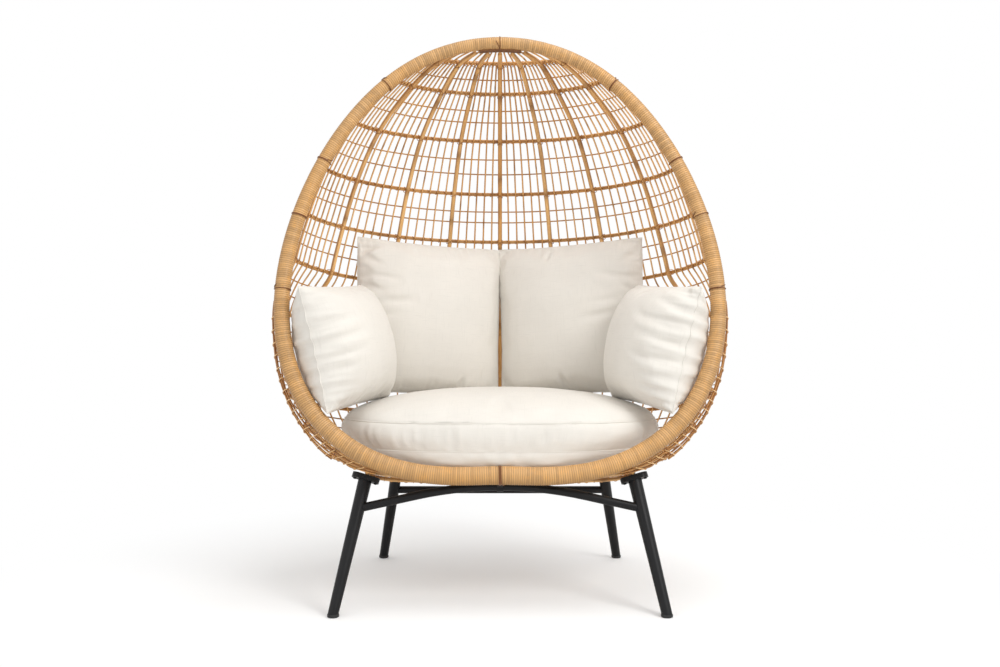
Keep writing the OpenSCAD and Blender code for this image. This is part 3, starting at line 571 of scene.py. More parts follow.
class EggChairCushions(bpy.types.PropertyGroup):
    thread: length_prop("Thread", "Distance from thread to thread", 0.9, 0.2, 4)
    pressure: number_prop("Pressure", "Pressure of the filling", 4.0, 0, 20)
    softness: number_prop("Bending", "Stiffness of the cloth against bending", 0.15, 0.01, 5)
    slack: number_prop("Slack", "Extra cloth in the panels, as a share", 0.03, 0, 0.2, subtype="FACTOR")
    gather: number_prop("Gather", "How far seams draw the cloth in, as a share", 0.04, 0, 0.2, subtype="FACTOR")
    cloth: colour_prop("Cloth", "Colour of the covers", (0.78, 0.745, 0.685))


class EggChairBase(bpy.types.PropertyGroup):
    steel: colour_prop("Steel", "Colour of the powder coat", (0.007, 0.007, 0.0075))
    rubber: colour_prop("Glides", "Colour of the feet's glides", (0.02, 0.02, 0.02))


class EggChairStage(bpy.types.PropertyGroup):
    lens: number_prop("Lens", "Focal length of the camera in millimetres", 36.0, 10, 200)
    distance: number_prop("Distance", "Camera to the middle of the chair", 2.864, 1, 20, unit="LENGTH")
    eye: number_prop("Eye", "Height of the camera", 0.71, 0, 5, unit="LENGTH")
    key: number_prop("Key", "Power of the main lamp", 66.0, 0, 1000)
    sky: number_prop("Sky", "Light from all round", 0.78, 0, 5)


class Piece:
    bl_options = {"REGISTER", "UNDO"}


# ---- rim ----------------------------------------------------------------------------------------

# One turn of the winding: places along it, and how deep the gap is there
TURN_SHAPE = ((0.0, 1.0), (0.16, 0.2), (0.5, 0.0), (0.84, 0.2))


class EGGCHAIR_OT_rim(Piece, bpy.types.Operator):
    """Wind the cane round the two halves of the rim"""
    bl_idname = "egg_chair.rim"
    bl_label = "Wound Rim"

    def execute(self, context):
        cane = context.scene.egg_chair_cane
        sides, pitch, relief = cane.sides, cane.strand / MM, cane.relief / MM
        path = [rim_point(t / 4) for t in range(721)]
        runs = [0.0]
        for a, b in zip(path, path[1:]):
            runs.append(runs[-1] + (b - a).length)
        turns = round(runs[-1] / pitch)
        marks = [(n + p) / turns * runs[-1] for n in range(turns) for p, _ in TURN_SHAPE] + [runs[-1]]
        drops = [d for _, d in TURN_SHAPE] * turns + [1.0]
        spine, radii, i = [], [], 0
        for mark, drop in zip(marks, drops):
            while runs[i + 1] < mark and i < len(path) - 2:
                i += 1
            f = (mark - runs[i]) / (runs[i + 1] - runs[i])
            spine.append(path[i].lerp(path[i + 1], f))
            uneven = 0.35 * noise.noise((mark * 0.02, 4.0, 0)) + 0.25 * noise.noise((mark * 0.15, 9.0, 0))
            radii.append(rim_radius((i + f) / 4) - relief * drop + min(0.0, uneven))
        middle = Vector((0, rim_point(90).y, rim_point(90).z))

        for side, word in SIDES:
            def lean(run, c, s):
                broad = noise.noise((c * 0.8, s * 0.8, run * 0.03 + side * 50))
                return 0.9 * broad + 0.35 * noise.noise((c * 2, s * 2, run * 0.11 + side * 70))

            bm = cane_mesh()
            half = [Vector((side * p.x, p.y, p.z)) for p in spine]
            made = sweep(bm, half, [FACE] * len(half), radii, sides, side * 3000.0, lean)
            turn, tint = bm.verts.layers.float["turn"], bm.verts.layers.float["tint"]
            for k, v in enumerate(made):
                n, place = divmod(k // sides, len(TURN_SHAPE))
                v[turn] = n + TURN_SHAPE[place][0] + (500 if side > 0 else 0)
                p = half[k // sides]
                off = v.co / MM - p
                # tint grows on the side of each turn that faces away from the rim's middle, for painted shade
                # on the outer edge
                v[tint] = max(0.0, off.dot((p - middle).normalized()) / off.length) ** 2
            finish_piece(bm, f"rim_{word}_cane", "wound", f"rim_{word}")
        return {"FINISHED"}


# Ties lie on rings of the rim, counted in steps that are a little longer at its sides
TIE_RINGS, RING_STEP, RING_SPREAD = (33, 28, 25, 21), 4.5, 6
TIE_R, TIE_STEPS, TIE_TAIL = 1.25, 40, 12
STRAND_R, STRAND_STEP, STRAND_PARTS = 2.1, 4.2, 40


def rim_tie(bm, t, side, seed, turns=1.6):
    """Some turns of fine cane round the rim, with a tail tucked in along it."""
    p = rim_point(t)
    along = (rim_point(t + 0.5) - rim_point(t - 0.5)).normalized()
    p.x, along.x = side * p.x, side * along.x
    b = along.cross(FACE)
    last = int(TIE_STEPS * turns)
    spine = []
    for i in range(last + TIE_TAIL + 1):
        tail = max(0, i - last)
        a = math.tau * min(i, last) / TIE_STEPS + 2.0 + seed + tail * 0.09
        lift = rim_radius(t) + 0.7 + 0.25 * noise.noise((a, seed, 0))
        shift = (i / TIE_STEPS - turns / 2) * TIE_R * 2.1 + tail * 0.7
        spine.append(p + (FACE * math.cos(a) + b * math.sin(a)) * lift + along * shift)
    radii = [TIE_R * min(1.0, 0.4 + 0.2 * min(i, last + TIE_TAIL - i)) for i in range(len(spine))]
    sweep(bm, spine, [(q - p).normalized() for q in spine], radii, 8, seed * 40.0)


class EGGCHAIR_OT_ties(Piece, bpy.types.Operator):
    """Tie the dark cane round the rim"""
    bl_idname = "egg_chair.ties"
    bl_label = "Rim Ties"

    def execute(self, context):
        bm = cane_mesh()
        for k, ring in enumerate(TIE_RINGS):
            t = RING_STEP * ring
            t += RING_SPREAD * math.sin(math.radians(2 * t))
            for side, _ in SIDES:
                rim_tie(bm, t, side, k * 2 + side)
        rim_tie(bm, 180, 1, 12)
        for strand in range(4):
            spine = []
            for i in range(STRAND_PARTS + 1):
                t = 173 + 14 * i / STRAND_PARTS
                p = rim_point(t)
                inward = (Vector((0, p.y, p.z - 300)) - p).normalized()
                spine.append(p + inward * (rim_radius(t) + 1.2) - FACE * (STRAND_STEP * strand - 1))
            sweep(bm, spine, [FACE] * len(spine), [STRAND_R] * len(spine), 8, 900.0 * strand)
        finish_piece(bm, "rim_ties_cane", "tie", "rim_ties")
        bm = cane_mesh()
        rim_tie(bm, 0, 1, 14, 2.6)
        finish_piece(bm, "foot_tie_cane", "tie", "foot_tie")
        return {"FINISHED"}


# ---- lattice ------------------------------------------------------------------------------------

class EGGCHAIR_OT_ribs(Piece, bpy.types.Operator):
    """Bend the nine ribs of the lattice"""
    bl_idname = "egg_chair.ribs"
    bl_label = "Ribs"

    def execute(self, context):
        cane = context.scene.egg_chair_cane
        for i, place in enumerate(RIBS):
            thick = (cane.side_rib if i == len(RIBS) - 1 else cane.rib) / MM
            for side, name in [(side, f"rib_{word}_{i}") for side, word in SIDES] if i else [(0, "rib_centre")]:
                bm = cane_mesh()
                line = upright_line(*upright_ends(place, thick), (side or 1) * place, thick, 0.085)
                natural_cane(bm, line, thick, 14, 1 + i * 2 + side, 0.25, 260.0)
                finish_piece(bm, name + "_cane", "rattan", name, CREASE)
        return {"FINISHED"}


class EGGCHAIR_OT_rods(Piece, bpy.types.Operator):
    """Bend the thin uprights between the ribs"""
    bl_idname = "egg_chair.rods"
    bl_label = "Rods"

    def execute(self, context):
        thick = context.scene.egg_chair_cane.rod / MM
        places = RODS_INNER + RODS_OUTER
        inner = len(RODS_INNER)
        for side, word in SIDES:
            for group, span in (("inner", range(inner)), ("outer", range(inner, len(places)))):
                bm = cane_mesh()
                for i in span:
                    v0, v1 = upright_ends(places[i], thick)
                    if SHORT_RODS[i]:
                        v0, v1 = max(v0, SHORT_TOP), min(v1, SHORT_FOOT)
                    line = upright_line(v0, v1, side * places[i], thick, 0.12)
                    # Rods from index 16 on, between rib 3 and the rim, get the paler tone 0.1: painted light on
                    # the lit sides of the shell
                    natural_cane(bm, line, thick, 8, 30 + i * 2 + side, 0.3 if i < 16 else 0.1, 310.0, 0.9)
                finish_piece(bm, f"rods_{word}_{group}_cane", "rattan", f"rods_{word}_{group}")
        return {"FINISHED"}


def band_point(v, s, lift):
    """A point outside the thick hoops, lift millimetres off them."""
    hoop = bpy.context.scene.egg_chair_cane.hoop / MM
    return sheet(v, s) + outward(v, s) * (hoop + LAP + BAND_GAP + max(0, row(CLEARANCE, v)) + lift)


STRAPS, STRAP_TOP, STRAP_STEP, STRAP_D, STRAP_PARTS = 17, 7.25, 0.28, 3.0, 14


class EGGCHAIR_OT_band(Piece, bpy.types.Operator):
    """Lay the outer rods over the hoops beside the rim and strap them down"""
    bl_idname = "egg_chair.band"
    bl_label = "Outer Band"

    def execute(self, context):
        thick = context.scene.egg_chair_cane.rod / MM
        for side, word in SIDES:
            bm = cane_mesh()
            for k, s in enumerate(BAND):
                foot = BAND_FOOT - 1 if s < PLATE_END else BAND_FOOT
                places = [BAND_TOP + (foot - BAND_TOP) * i / 50 for i in range(51)]
                spine = [band_point(v, side * s, thick / 2) for v in places]
                out = [outward(v, side * s) for v in places]
                natural_cane(bm, (spine, out), thick, 8, 150 + k * 2 + side, 0.62, 310.0, 0.5)
            finish_piece(bm, f"rods_{word}_band_cane", "rattan", f"rods_{word}_band")

            bm = cane_mesh()
            for k in range(STRAPS):
                v = STRAP_TOP + STRAP_STEP * k + 0.05 * noise.noise((k * 3.1, side, 0))
                inner = BAND[0] - 0.02 if v < BAND_FOOT - 1.05 else PLATE_END - 0.01
                outer = BAND[-1] + 0.02
                spine, out = [], []
                for i in range(STRAP_PARTS + 1):
                    f = i / STRAP_PARTS
                    s = side * (inner + (outer - inner) * f)
                    tuck = 4.5 * (abs(2 * f - 1) ** 6)
                    spine.append(band_point(v + 0.05 * f, s, thick + 0.9 - tuck))
                    out.append(outward(v, s))
                natural_cane(bm, (spine, out), STRAP_D, 6, 170 + k * 2 + side, -0.25, 500.0)
            finish_piece(bm, f"band_{word}_straps", "rattan")
        return {"FINISHED"}


class EGGCHAIR_OT_hoops(Piece, bpy.types.Operator):
    """Bend the thick hoops round the outside"""
    bl_idname = "egg_chair.hoops"
    bl_label = "Hoops"

    def execute(self, context):
        thick = context.scene.egg_chair_cane.hoop / MM
        for k in range(len(HOOP_ROWS)):
            bm = cane_mesh()
            natural_cane(bm, hoop_line(k, thick), thick, 12, 80 + k, 0.42, 280.0)
            finish_piece(bm, f"hoop_{k}_cane", "rattan", f"hoop_{k}", CREASE)
        return {"FINISHED"}


class EGGCHAIR_OT_thin_hoops(Piece, bpy.types.Operator):
    """Bend the thin hoops between the thick ones"""
    bl_idname = "egg_chair.thin_hoops"
    bl_label = "Thin Hoops"

    def execute(self, context):
        thick = context.scene.egg_chair_cane.thin / MM
        for part, low, high in (("top", 0, 4), ("middle", 4, 8), ("low", 8, 12)):
            bm = cane_mesh()
            for k, v in enumerate(THIN_ROWS):
                if low < v < high:
                    natural_cane(bm, hoop_line(v, thick), thick, 8, 110 + k, 0.55, 300.0, 0.7)
            finish_piece(bm, f"thin_hoops_{part}_cane", "rattan", f"thin_hoops_{part}")
        return {"FINISHED"}


def lashing_mesh():
    """A thin ring of radius 1, to be copied for every lashing."""
    bm = cane_mesh()
    grain = bm.verts.layers.float_vector["grain"]
    place = Matrix.Translation((1, 0, 0)) @ Matrix.Rotation(math.pi / 2, 4, "X")
    ring = bmesh.ops.create_circle(bm, segments=5, radius=0.1, matrix=place)["verts"]
    bmesh.ops.spin(bm, geom=ring + ring_edges(ring), cent=(0, 0, 0), axis=(0, 0, 1), angle=math.tau,
                   steps=14, use_merge=True)
    bmesh.ops.remove_doubles(bm, verts=bm.verts, dist=1e-4)
    bmesh.ops.recalc_face_normals(bm, faces=bm.faces)
    for v in bm.verts:
        v[grain] = (0.001 * v.co.z, 0, 0.01 * math.atan2(v.co.y, v.co.x))
    mesh = bpy.data.meshes.new("lashing")
    bm.to_mesh(mesh)
    bm.free()
    return mesh


class EGGCHAIR_OT_lashings(Piece, bpy.types.Operator):
    """Tie the uprights to the hoops where they cross"""
    bl_idname = "egg_chair.lashings"
    bl_label = "Lashings"

    def execute(self, context):
        cane = context.scene.egg_chair_cane
        wire, hoop = cane.lash / MM, cane.hoop / MM
        template = lashing_mesh()

        def tie(bm, v, s, upright, turn, tone, seed):
            """One loop round an upright and a hoop, in a plane turned from the upright's direction."""
            out = outward(v, s)
            down = (sheet(min(v + 0.05, LAST), s) - sheet(max(v - 0.05, 0), s)).normalized()
            e = down * math.sin(turn) + out.cross(down) * math.cos(turn)
            deep = (upright + hoop) / 2 + wire * 0.7
            wide = (upright + hoop) / 4 / max(abs(math.cos(turn)), 0.72) + wire * 1.7
            m = Matrix((out * deep, e * wide, out.cross(e) * wire * 5)).transposed().to_4x4()
            m.translation = sheet(v, s) + out * ((hoop - upright) / 2 + max(0, row(CLEARANCE, v)) / 2)
            first = len(bm.verts)
            bm.from_mesh(template)
            bm.verts.ensure_lookup_table()
            new = bm.verts[first:]
            grain, tint = bm.verts.layers.float_vector["grain"], bm.verts.layers.float["tint"]
            for vert in new:
                vert[grain] = vert[grain] + Vector((0, 0, seed * 0.37))
                vert[tint] = tone
            bmesh.ops.transform(bm, matrix=Matrix.Scale(MM, 4) @ m, verts=new)

        thick_ribs = len(RIBS) - 1
        uprights = [(s, cane.rib / MM) for s in RIBS[:-1]] + [(RIBS[-1], cane.side_rib / MM)]
        uprights += [(s, cane.rod / MM) for s in RODS_INNER + RODS_OUTER]
        for side, word in SIDES:
            bm = cane_mesh()
            for k, (s, thick) in enumerate(uprights):
                if s == 0 and side < 0:
                    continue
                low, high = upright_ends(s, thick)
                for v in range(len(HOOP_ROWS)):
                    if not low + 0.12 < v < high - 0.12:
                        continue
                    seed = k * 31 + v * 7 + side
                    tone = 0.9 + 0.6 * noise.noise((seed * 0.83, 1.7, 0))
                    turn = math.pi / 4 * (1 if k < thick_ribs or (k + v) % 2 else -1)
                    tie(bm, v, side * s, thick, turn, tone, seed)
                    if k < thick_ribs:
                        tie(bm, v, side * s, thick, -turn, tone, seed + 0.5)
            finish_piece(bm, f"lashings_{word}", "rattan")
        bpy.data.meshes.remove(template)
        return {"FINISHED"}


# ---- base ---------------------------------------------------------------------------------------

STEEL_NODES = ("leg_", "plate_", "front_stretcher", "back_stretcher", "centre_clip")


class EGGCHAIR_OT_base(Piece, bpy.types.Operator):
    """Give the legs, plates, stretchers and glides their finish"""
    bl_idname = "egg_chair.base"
    bl_label = "Base"

    def execute(self, context):
        for name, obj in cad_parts.items():
            if name.startswith((*STEEL_NODES, "glide_")):
                obj.data.materials.clear()
                obj.data.materials.append(material("rubber" if name.startswith("glide_") else "steel"))
        return {"FINISHED"}


# ---- cushions -----------------------------------------------------------------------------------

FRAMES = 20
CLOTH_MASS, STRETCHING, SHEARING = 0.3, 15, 5
HOLD = 5


def evaluated_mesh(obj):
    """The object's mesh as its modifiers leave it."""
    graph = bpy.context.evaluated_depsgraph_get()
    evaluated = obj.evaluated_get(graph)
    return bpy.data.meshes.new_from_object(evaluated, preserve_all_data_layers=True, depsgraph=graph)


def fill_cover(name, bm, gather, pinned, cap, ease_in):
    """Fills a sewn cover by cloth simulation and smooths it once.

    Every point stays within cap of where it was; ease_in is the share of its movement kept along x, y and z.
    """
    scene, s = bpy.context.scene, bpy.context.scene.egg_chair_cushions
    mesh = bpy.data.meshes.new(name)
    bm.to_mesh(mesh)
    bm.free()
    obj = bpy.data.objects.new(name, mesh)
    scene.collection.objects.link(obj)
    for word, weights in (("gather", gather), ("pinned", pinned)):
        group = obj.vertex_groups.new(name=word)
        for i, w in enumerate(weights):
            group.add([i], w, "REPLACE")
    cloth = obj.modifiers.new("Cloth", "CLOTH")
    c = cloth.settings
    c.quality, c.mass = 5, CLOTH_MASS
    c.tension_stiffness = c.compression_stiffness = STRETCHING
    c.shear_stiffness, c.bending_stiffness = SHEARING, s.softness
    c.use_pressure, c.uniform_pressure_force = True, s.pressure
    c.vertex_group_shrink, c.shrink_min, c.shrink_max = "gather", -s.slack, s.gather
    c.effector_weights.gravity = 0
    if any(pinned):
        c.vertex_group_mass = "pinned"
    cloth.collision_settings.use_collision = False
    cloth.point_cache.frame_end = FRAMES
    for frame in range(1, FRAMES + 1):
        scene.frame_set(frame)
    filled = evaluated_mesh(obj)
    for v, old in zip(filled.vertices, mesh.vertices):
        move = Vector((a * b for a, b in zip(v.co - old.co, ease_in)))
        far = max(move.length, 1e-9)
        v.co = old.co + move * (cap * MM * math.tanh(far / cap / MM) / far)
    obj.modifiers.clear()
    scene.frame_set(1)
    obj.data = filled
    obj.modifiers.new("Round", "SUBSURF").levels = 1
    rounded = evaluated_mesh(obj)
    bm = bmesh.new()
    bm.from_mesh(rounded)
    bpy.data.objects.remove(obj)
    bpy.data.meshes.remove(rounded)
    bm.normal_update()
    return bm


def fold_depth(x, y, folds):
    """How deep the folds lie at a place on a panel; each is (x0, y0, x1, y1, width, depth) in millimetres."""
    total = 0.0
    for x0, y0, x1, y1, width, depth in folds:
        ax, ay = x1 - x0, y1 - y0
        f = min(1, max(0, ((x - x0) * ax + (y - y0) * ay) / (ax * ax + ay * ay)))
        d = math.hypot(x - x0 - ax * f, y - y0 - ay * f) / width
        if d < 4:
            valley = math.exp(-d * d) - 0.55 * math.exp(-((d - 1.7) / 0.8) ** 2)
            total += depth * math.sin(math.pi * (0.1 + 0.8 * f)) * valley
    return total


def pucker_depth(x, y, size, seed, edges):
    """How deep the gathers lie that run in from the seams.

    The edges are the depth and reach of each seam's gathers: right, left, top, bottom.
    """
    w, h = size[0] / 2, size[1] / 2
    total = 0.0
    for k, (d, a) in enumerate(((w - x, y), (w + x, y), (h - y, x), (h + y, x))):
        depth, reach = edges[k]
        own = reach * (0.55 + 0.9 * abs(noise.noise((a / 33, seed + k * 5.3, 9.0))))
        bend = d * 0.012 * noise.noise((a / 60, seed, 2.0))
        ridge = noise.noise((a / 15 + bend, d / 190, seed * 1.3 + k * 7.1))
        total += depth * max(0.0, ridge + 0.12) * math.exp(-(d / own) ** 2) * min(1, (d + 2) / 7)
    return total


def hold_inside(bm, node):
    """Keeps every point within HOLD of the space that the CAD node holds."""
    solid = bmesh.new()
    solid.from_mesh(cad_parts[node].data)
    bmesh.ops.remove_doubles(solid, verts=solid.verts, dist=1e-5)
    bmesh.ops.recalc_face_normals(solid, faces=solid.faces)
    tree = BVHTree.FromBMesh(solid)
    solid.free()
    for v in bm.verts:
        hit, normal, _, far = tree.find_nearest(v.co)
        if (v.co - hit).dot(normal) > 0:
            v.co = hit + (v.co - hit) * (HOLD * MM * math.tanh(far / HOLD / MM) / max(far, 1e-9))


def piping(bm, line, thick):
    """A welt along a seam, in millimetres."""
    vectors, numbers = bm.verts.layers.float_vector, bm.verts.layers.int
    if "grain" not in vectors:
        vectors.new("grain")
    if "spoke" not in numbers:
        numbers.new("spoke")
    middle = sum(line, Vector()) / len(line)
    out = [(p - middle).normalized() for p in line]
    made = sweep(bm, line, out, [thick / 2] * len(line), 6, closed=True)
    grain, cloth = vectors["grain"], vectors["cloth"]
    for v in made:
        v[cloth] = (v[grain].z, v[grain].x + v[grain].y, 0)


def cushion_piece(bm, node):
    """Makes the cushion's object, without the layers that only its making needed."""
    vectors, numbers = bm.verts.layers.float_vector, bm.verts.layers.int
    vectors.remove(vectors["grain"])
    for name in numbers.keys():
        numbers.remove(numbers[name])
    obj = finish_piece(bm, node + "_cloth", "cloth", node)
    obj.vertex_groups.clear()


# ---- pillows ------------------------------------------------------------------------------------

# Per kind of pillow: turn, lean and roll in degrees; width, height and thickness; how finely it is cut; the
# strength of its folds; and each seam's gathers, as pucker_depth() takes them
PILLOWS = {
    "back": ((20, 4, 3.4), (472, 473, 172), 60, 1.35, ((5, 60), (3, 40), (4, 42), (5, 46))),
    "side": ((71, 12.8, -3), (376, 342, 228), 50, 0.8, ((6.5, 85), (4, 50), (4, 45), (5, 50))),
}
DRAW_IN, FILLING = 0.009, 0.91
# Folds on a pillow, placed from its outer or front seam: x runs in from the seam on the face, out on the back
FOLDS = {
    "back_pillow_left": (
        (14, 118, 120, 108, 13, 5.5), (10, 96, 90, 62, 15, 5), (40, 30, 160, 48, 15, 6),
        (30, -8, 130, 10, 14, 4), (8, 196, 60, 214, 10, 5), (20, 176, 70, 150, 12, 5),
        (400, -210, 396, -150, 9, 4), (330, -216, 336, -176, 9, 4.5)),
    "back_pillow_right": (
        (10, 104, 120, 126, 13, 6), (16, 76, 90, 100, 11, 4.5), (70, 14, 170, -8, 15, 5),
        (60, 48, 150, 34, 13, 3.5), (284, 214, 290, 186, 8, 5), (14, 190, 60, 160, 12, 4),
        (250, -214, 262, -170, 9, 4)),
    "side_pillow_left": (
        (-50, 96, 60, 118, 11, 3.5), (-36, 46, 96, 66, 13, 5.5), (-60, 4, 110, 24, 14, 6),
        (-30, -34, 100, -22, 13, 5), (-70, -66, 60, -60, 12, 5), (-24, -108, 70, -112, 11, 4.5),
        (-80, -120, -20, -140, 10, 5)),
    "side_pillow_right": (
        (-50, 128, 60, 140, 11, 4.5), (-30, 92, 90, 122, 13, 6), (-60, 52, 70, 70, 12, 5),
        (20, 44, 130, 74, 13, 5.5), (-40, 6, 96, 26, 14, 6), (-60, -34, 30, -34, 12, 4.5),
        (10, -52, 112, -34, 13, 6), (-24, -84, 70, -88, 12, 4.5), (14, -122, 84, -112, 10, 4)),
}


def ease(u):
    """Draws the rows of a panel together towards its edges, where it curves most."""
    return 0.6 * math.sin(u * math.pi / 2) + 0.4 * u


def sewn_panels(size, count, seed):
    """Two panels sewn together round their edges; 'cloth' keeps each point's place on its panel."""
    bm = bmesh.new()
    cloth = bm.verts.layers.float_vector.new("cloth")
    bmesh.ops.create_grid(bm, x_segments=count, y_segments=count, size=1)
    back = bmesh.ops.duplicate(bm, geom=bm.verts[:] + bm.edges[:] + bm.faces[:])["geom"]
    bmesh.ops.translate(bm, verts=[v for v in back if isinstance(v, bmesh.types.BMVert)], vec=(0, 0, -0.1))
    bmesh.ops.bridge_loops(bm, edges=[e for e in bm.edges if e.is_boundary])
    bmesh.ops.recalc_face_normals(bm, faces=bm.faces)
    w, h = size[0] / 2, size[1] / 2
    for v in bm.verts:
        x, y, face = ease(v.co.x), ease(v.co.y), -1 if v.co.z < -0.05 else 1
        v[cloth] = (w * x * MM, h * y * MM, 0.3 * face)
        crown = max(0.0, (1 - x * x) * (1 - y * y)) ** 0.48
        uneven = 2.5 * crown * noise.noise((x * 3, y * 3, seed + face))
        v.co = Vector((w * x * (1 - DRAW_IN * (1 - y * y)), h * y * (1 - DRAW_IN * (1 - x * x)),
                       face * (size[2] / 2 * FILLING * crown + 1.2 + uneven))) * MM
    return bm


def pillow_place(node, turn, lean, roll, size, side):
    """The pillow's middle and its three directions, read off its CAD node."""
    turn, lean, roll = (math.radians(a) for a in (turn, lean, roll))
    a = Vector((math.cos(turn), -math.sin(turn), 0))
    b = Vector((math.sin(turn) * math.sin(lean), math.cos(turn) * math.sin(lean), math.cos(lean)))
    x, y = a * math.cos(roll) + b * math.sin(roll), b * math.cos(roll) - a * math.sin(roll)
    z = a.cross(b)
    points = [Vector((side * v.co.x, v.co.y, v.co.z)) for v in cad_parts[node].data.vertices]
    wide, tall, deep = ([p.dot(way) for p in points] for way in (x, y, z))
    outer = max(wide) - size[0] / 2 * MM
    return x * outer + y * (max(tall) + min(tall)) / 2 + z * (max(deep) + min(deep)) / 2, x, y, z


class EGGCHAIR_OT_pillows(Piece, bpy.types.Operator):
    """Sew and fill the two back and the two side pillows"""
    bl_idname = "egg_chair.pillows"
    bl_label = "Pillows"

    def execute(self, context):
        for kind in PILLOWS:
            for side, word in SIDES:
                self.sew(kind, side, f"{kind}_pillow_{word}")
        return {"FINISHED"}

    def sew(self, kind, side, node):
        angles, size, count, strength, edges = PILLOWS[kind]
        seed = 11.0 + side * 4 + (kind == "side") * 30
        bm = sewn_panels(size, count, seed)
        cloth = bm.verts.layers.float_vector["cloth"]
        near = [min(size[0] / 2 - abs(v[cloth].x) / MM, size[1] / 2 - abs(v[cloth].y) / MM) for v in bm.verts]
        gather = [max(0.0, 1 - d / 36) for d in near]
        bm = fill_cover(node, bm, gather, [0.0] * len(near), 10, (0.25, 0.25, 0.9))
        cloth = bm.verts.layers.float_vector["cloth"]
        for v in bm.verts:
            x, y, face = v[cloth].x / MM, v[cloth].y / MM, v[cloth].z
            depth = pucker_depth(x, y, size, seed + (0 if face > 0 else 3), edges)
            run = size[0] / 2 - x
            if face > 0 or kind == "side":
                depth += strength * fold_depth(run if face > 0 else -run, y, FOLDS[node])
            v.co -= v.normal * depth * MM
        middle, x, y, z = pillow_place(node, *angles, size, side)
        for v in bm.verts:
            p = middle + x * v.co.x + y * v.co.y + z * v.co.z
            v.co = (side * p.x, p.y, p.z)
        if side < 0:
            bmesh.ops.reverse_faces(bm, faces=bm.faces)
        hold_inside(bm, node)
        seam = [v for v in bm.verts if abs(v[cloth].z) < 0.05]
        seam.sort(key=lambda v: math.atan2(v[cloth].y, v[cloth].x))
        piping(bm, [v.co / MM for v in seam], 3.4)
        cushion_piece(bm, node)


# ---- seat cushion -------------------------------------------------------------------------------

SEAT_RISE, SEAT_BORDER, SEAT_CROWN, SEAT_FLARE, SEAT_SLACK = 15.5, 117.0, 74.0, 85.0, 34.0
SEAT_Z = FOOT_Z + SEAT_RISE
SEAM_Z = SEAT_Z + SEAT_BORDER
SEAT_AROUND = 140
# Heights of the two seams as shares of the border's, and where the folds above and below the lower one start
TOP_SEAM, WAIST, WAIST_TOP = 0.98, 0.355, 0.36
# The border's rings: share of its height and how far the ring is drawn in
BORDER = (
    (0, 14), (0.015, 12), (0.03, 10), (0.08, 5), (0.16, 1), (0.24, 0), (0.30, 0), (0.34, 0.8), (WAIST, 1.6),
    (0.37, 0.6), (0.41, -0.6), (0.48, -2.2), (0.55, -4), (0.62, -5), (0.70, -5), (0.78, -4.2), (0.85, -3),
    (0.90, -1.4), (0.94, 1), (0.965, 4))
# Rings of the underside and of the top, as shares of their outlines
UNDERSIDE = (0.08, 0.25, 0.45, 0.62, 0.78, 0.9)
CROWN = (1.0, 0.988, 0.972, 0.95, 0.92, 0.88, 0.84, 0.79, 0.74, 0.68, 0.62, 0.55, 0.48, 0.41, 0.34, 0.27,
         0.2, 0.13, 0.06)


def halve(low, high, above):
    """The place between low and high where above() turns true."""
    for _ in range(20):
        mid = (low + high) / 2
        low, high = (low, mid) if above(mid) else (mid, high)
    return high


def rib_depth(z):
    """How far back the inner side of the centre rib lies at the height z."""
    def inner(v):
        return sheet(v, 0) - outward(v, 0) * (13 + LAP)
    return inner(halve(6, 11.5, lambda v: inner(v).z < z)).y


SEAT_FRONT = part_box("seat_cushion")[0][1] / MM + 5
SEAT_BACK = (rib_depth(SEAT_Z) + 11.6, rib_depth(SEAM_Z) - SEAT_SLACK)


def seat_at(z):
    """Half width, middle and half depth of the cushion at the height z."""
    t = halve(22, 90, lambda t: rim_point(t).z > z)
    f = (z - SEAT_Z) / SEAT_BORDER
    back = SEAT_BACK[0] + (SEAT_BACK[1] - SEAT_BACK[0]) * f
    half = rim_point(t).x - rim_radius(t) - 2 + SEAT_FLARE * (1 - f * f)
    return half, (SEAT_FRONT + back) / 2, (back - SEAT_FRONT) / 2


def seat_weights(h, share, part):
    """How far the seams gather the cover, and how firmly it is held: under, round or on top of the cushion."""
    if part < 0:
        return 0, 1.0
    if part > 0:
        return max(0.0, (share - 0.93) / 0.07), 1.0 if share < 0.15 else 0.0
    return max(0.0, 1 - abs(h - TOP_SEAM) / 0.2, 1 - abs(h - WAIST) / 0.1), max(0.0, 1 - h / 0.1)


def swell(f):
    """Rises from 0 to 1 halfway, and falls back to 0 at f = 1."""
    return math.sin(math.pi * min(1, max(0, f)))


def seat_fold(co, part, top):
    """How deep the cover's folds lie at a point of its border or of its top."""
    up = (co.z / MM - SEAT_Z) / SEAT_BORDER
    run = math.atan2(co.x, top[1] * MM - co.y) * 400
    if part > 0.1:
        near = max(abs(co.x / MM) / top[0], abs(co.y / MM - top[1]) / top[2])
        depth = 4 * max(0.0, noise.noise((run / 24, 0.5, 12.0))) * math.exp(-((1 - near) / 0.09) ** 2)
        return depth + 1.5 * noise.noise((co.x * 9, co.y * 9, 4.0))
    if part < -0.1:
        return 0.0
    if up > WAIST_TOP:
        strong = 0.75 + 1.0 * abs(noise.noise((run / 110, 3.0, 0)))
        ridge = noise.noise((run / 16 + 0.4 * up, up * 0.9, 5.0))
        return 8.5 * strong * max(0.0, ridge + 0.08) * swell((up - WAIST_TOP) / 0.62) ** 0.6
    return 2.2 * max(0.0, noise.noise((run / 24, up * 2, 8.0))) * swell(up / WAIST_TOP)


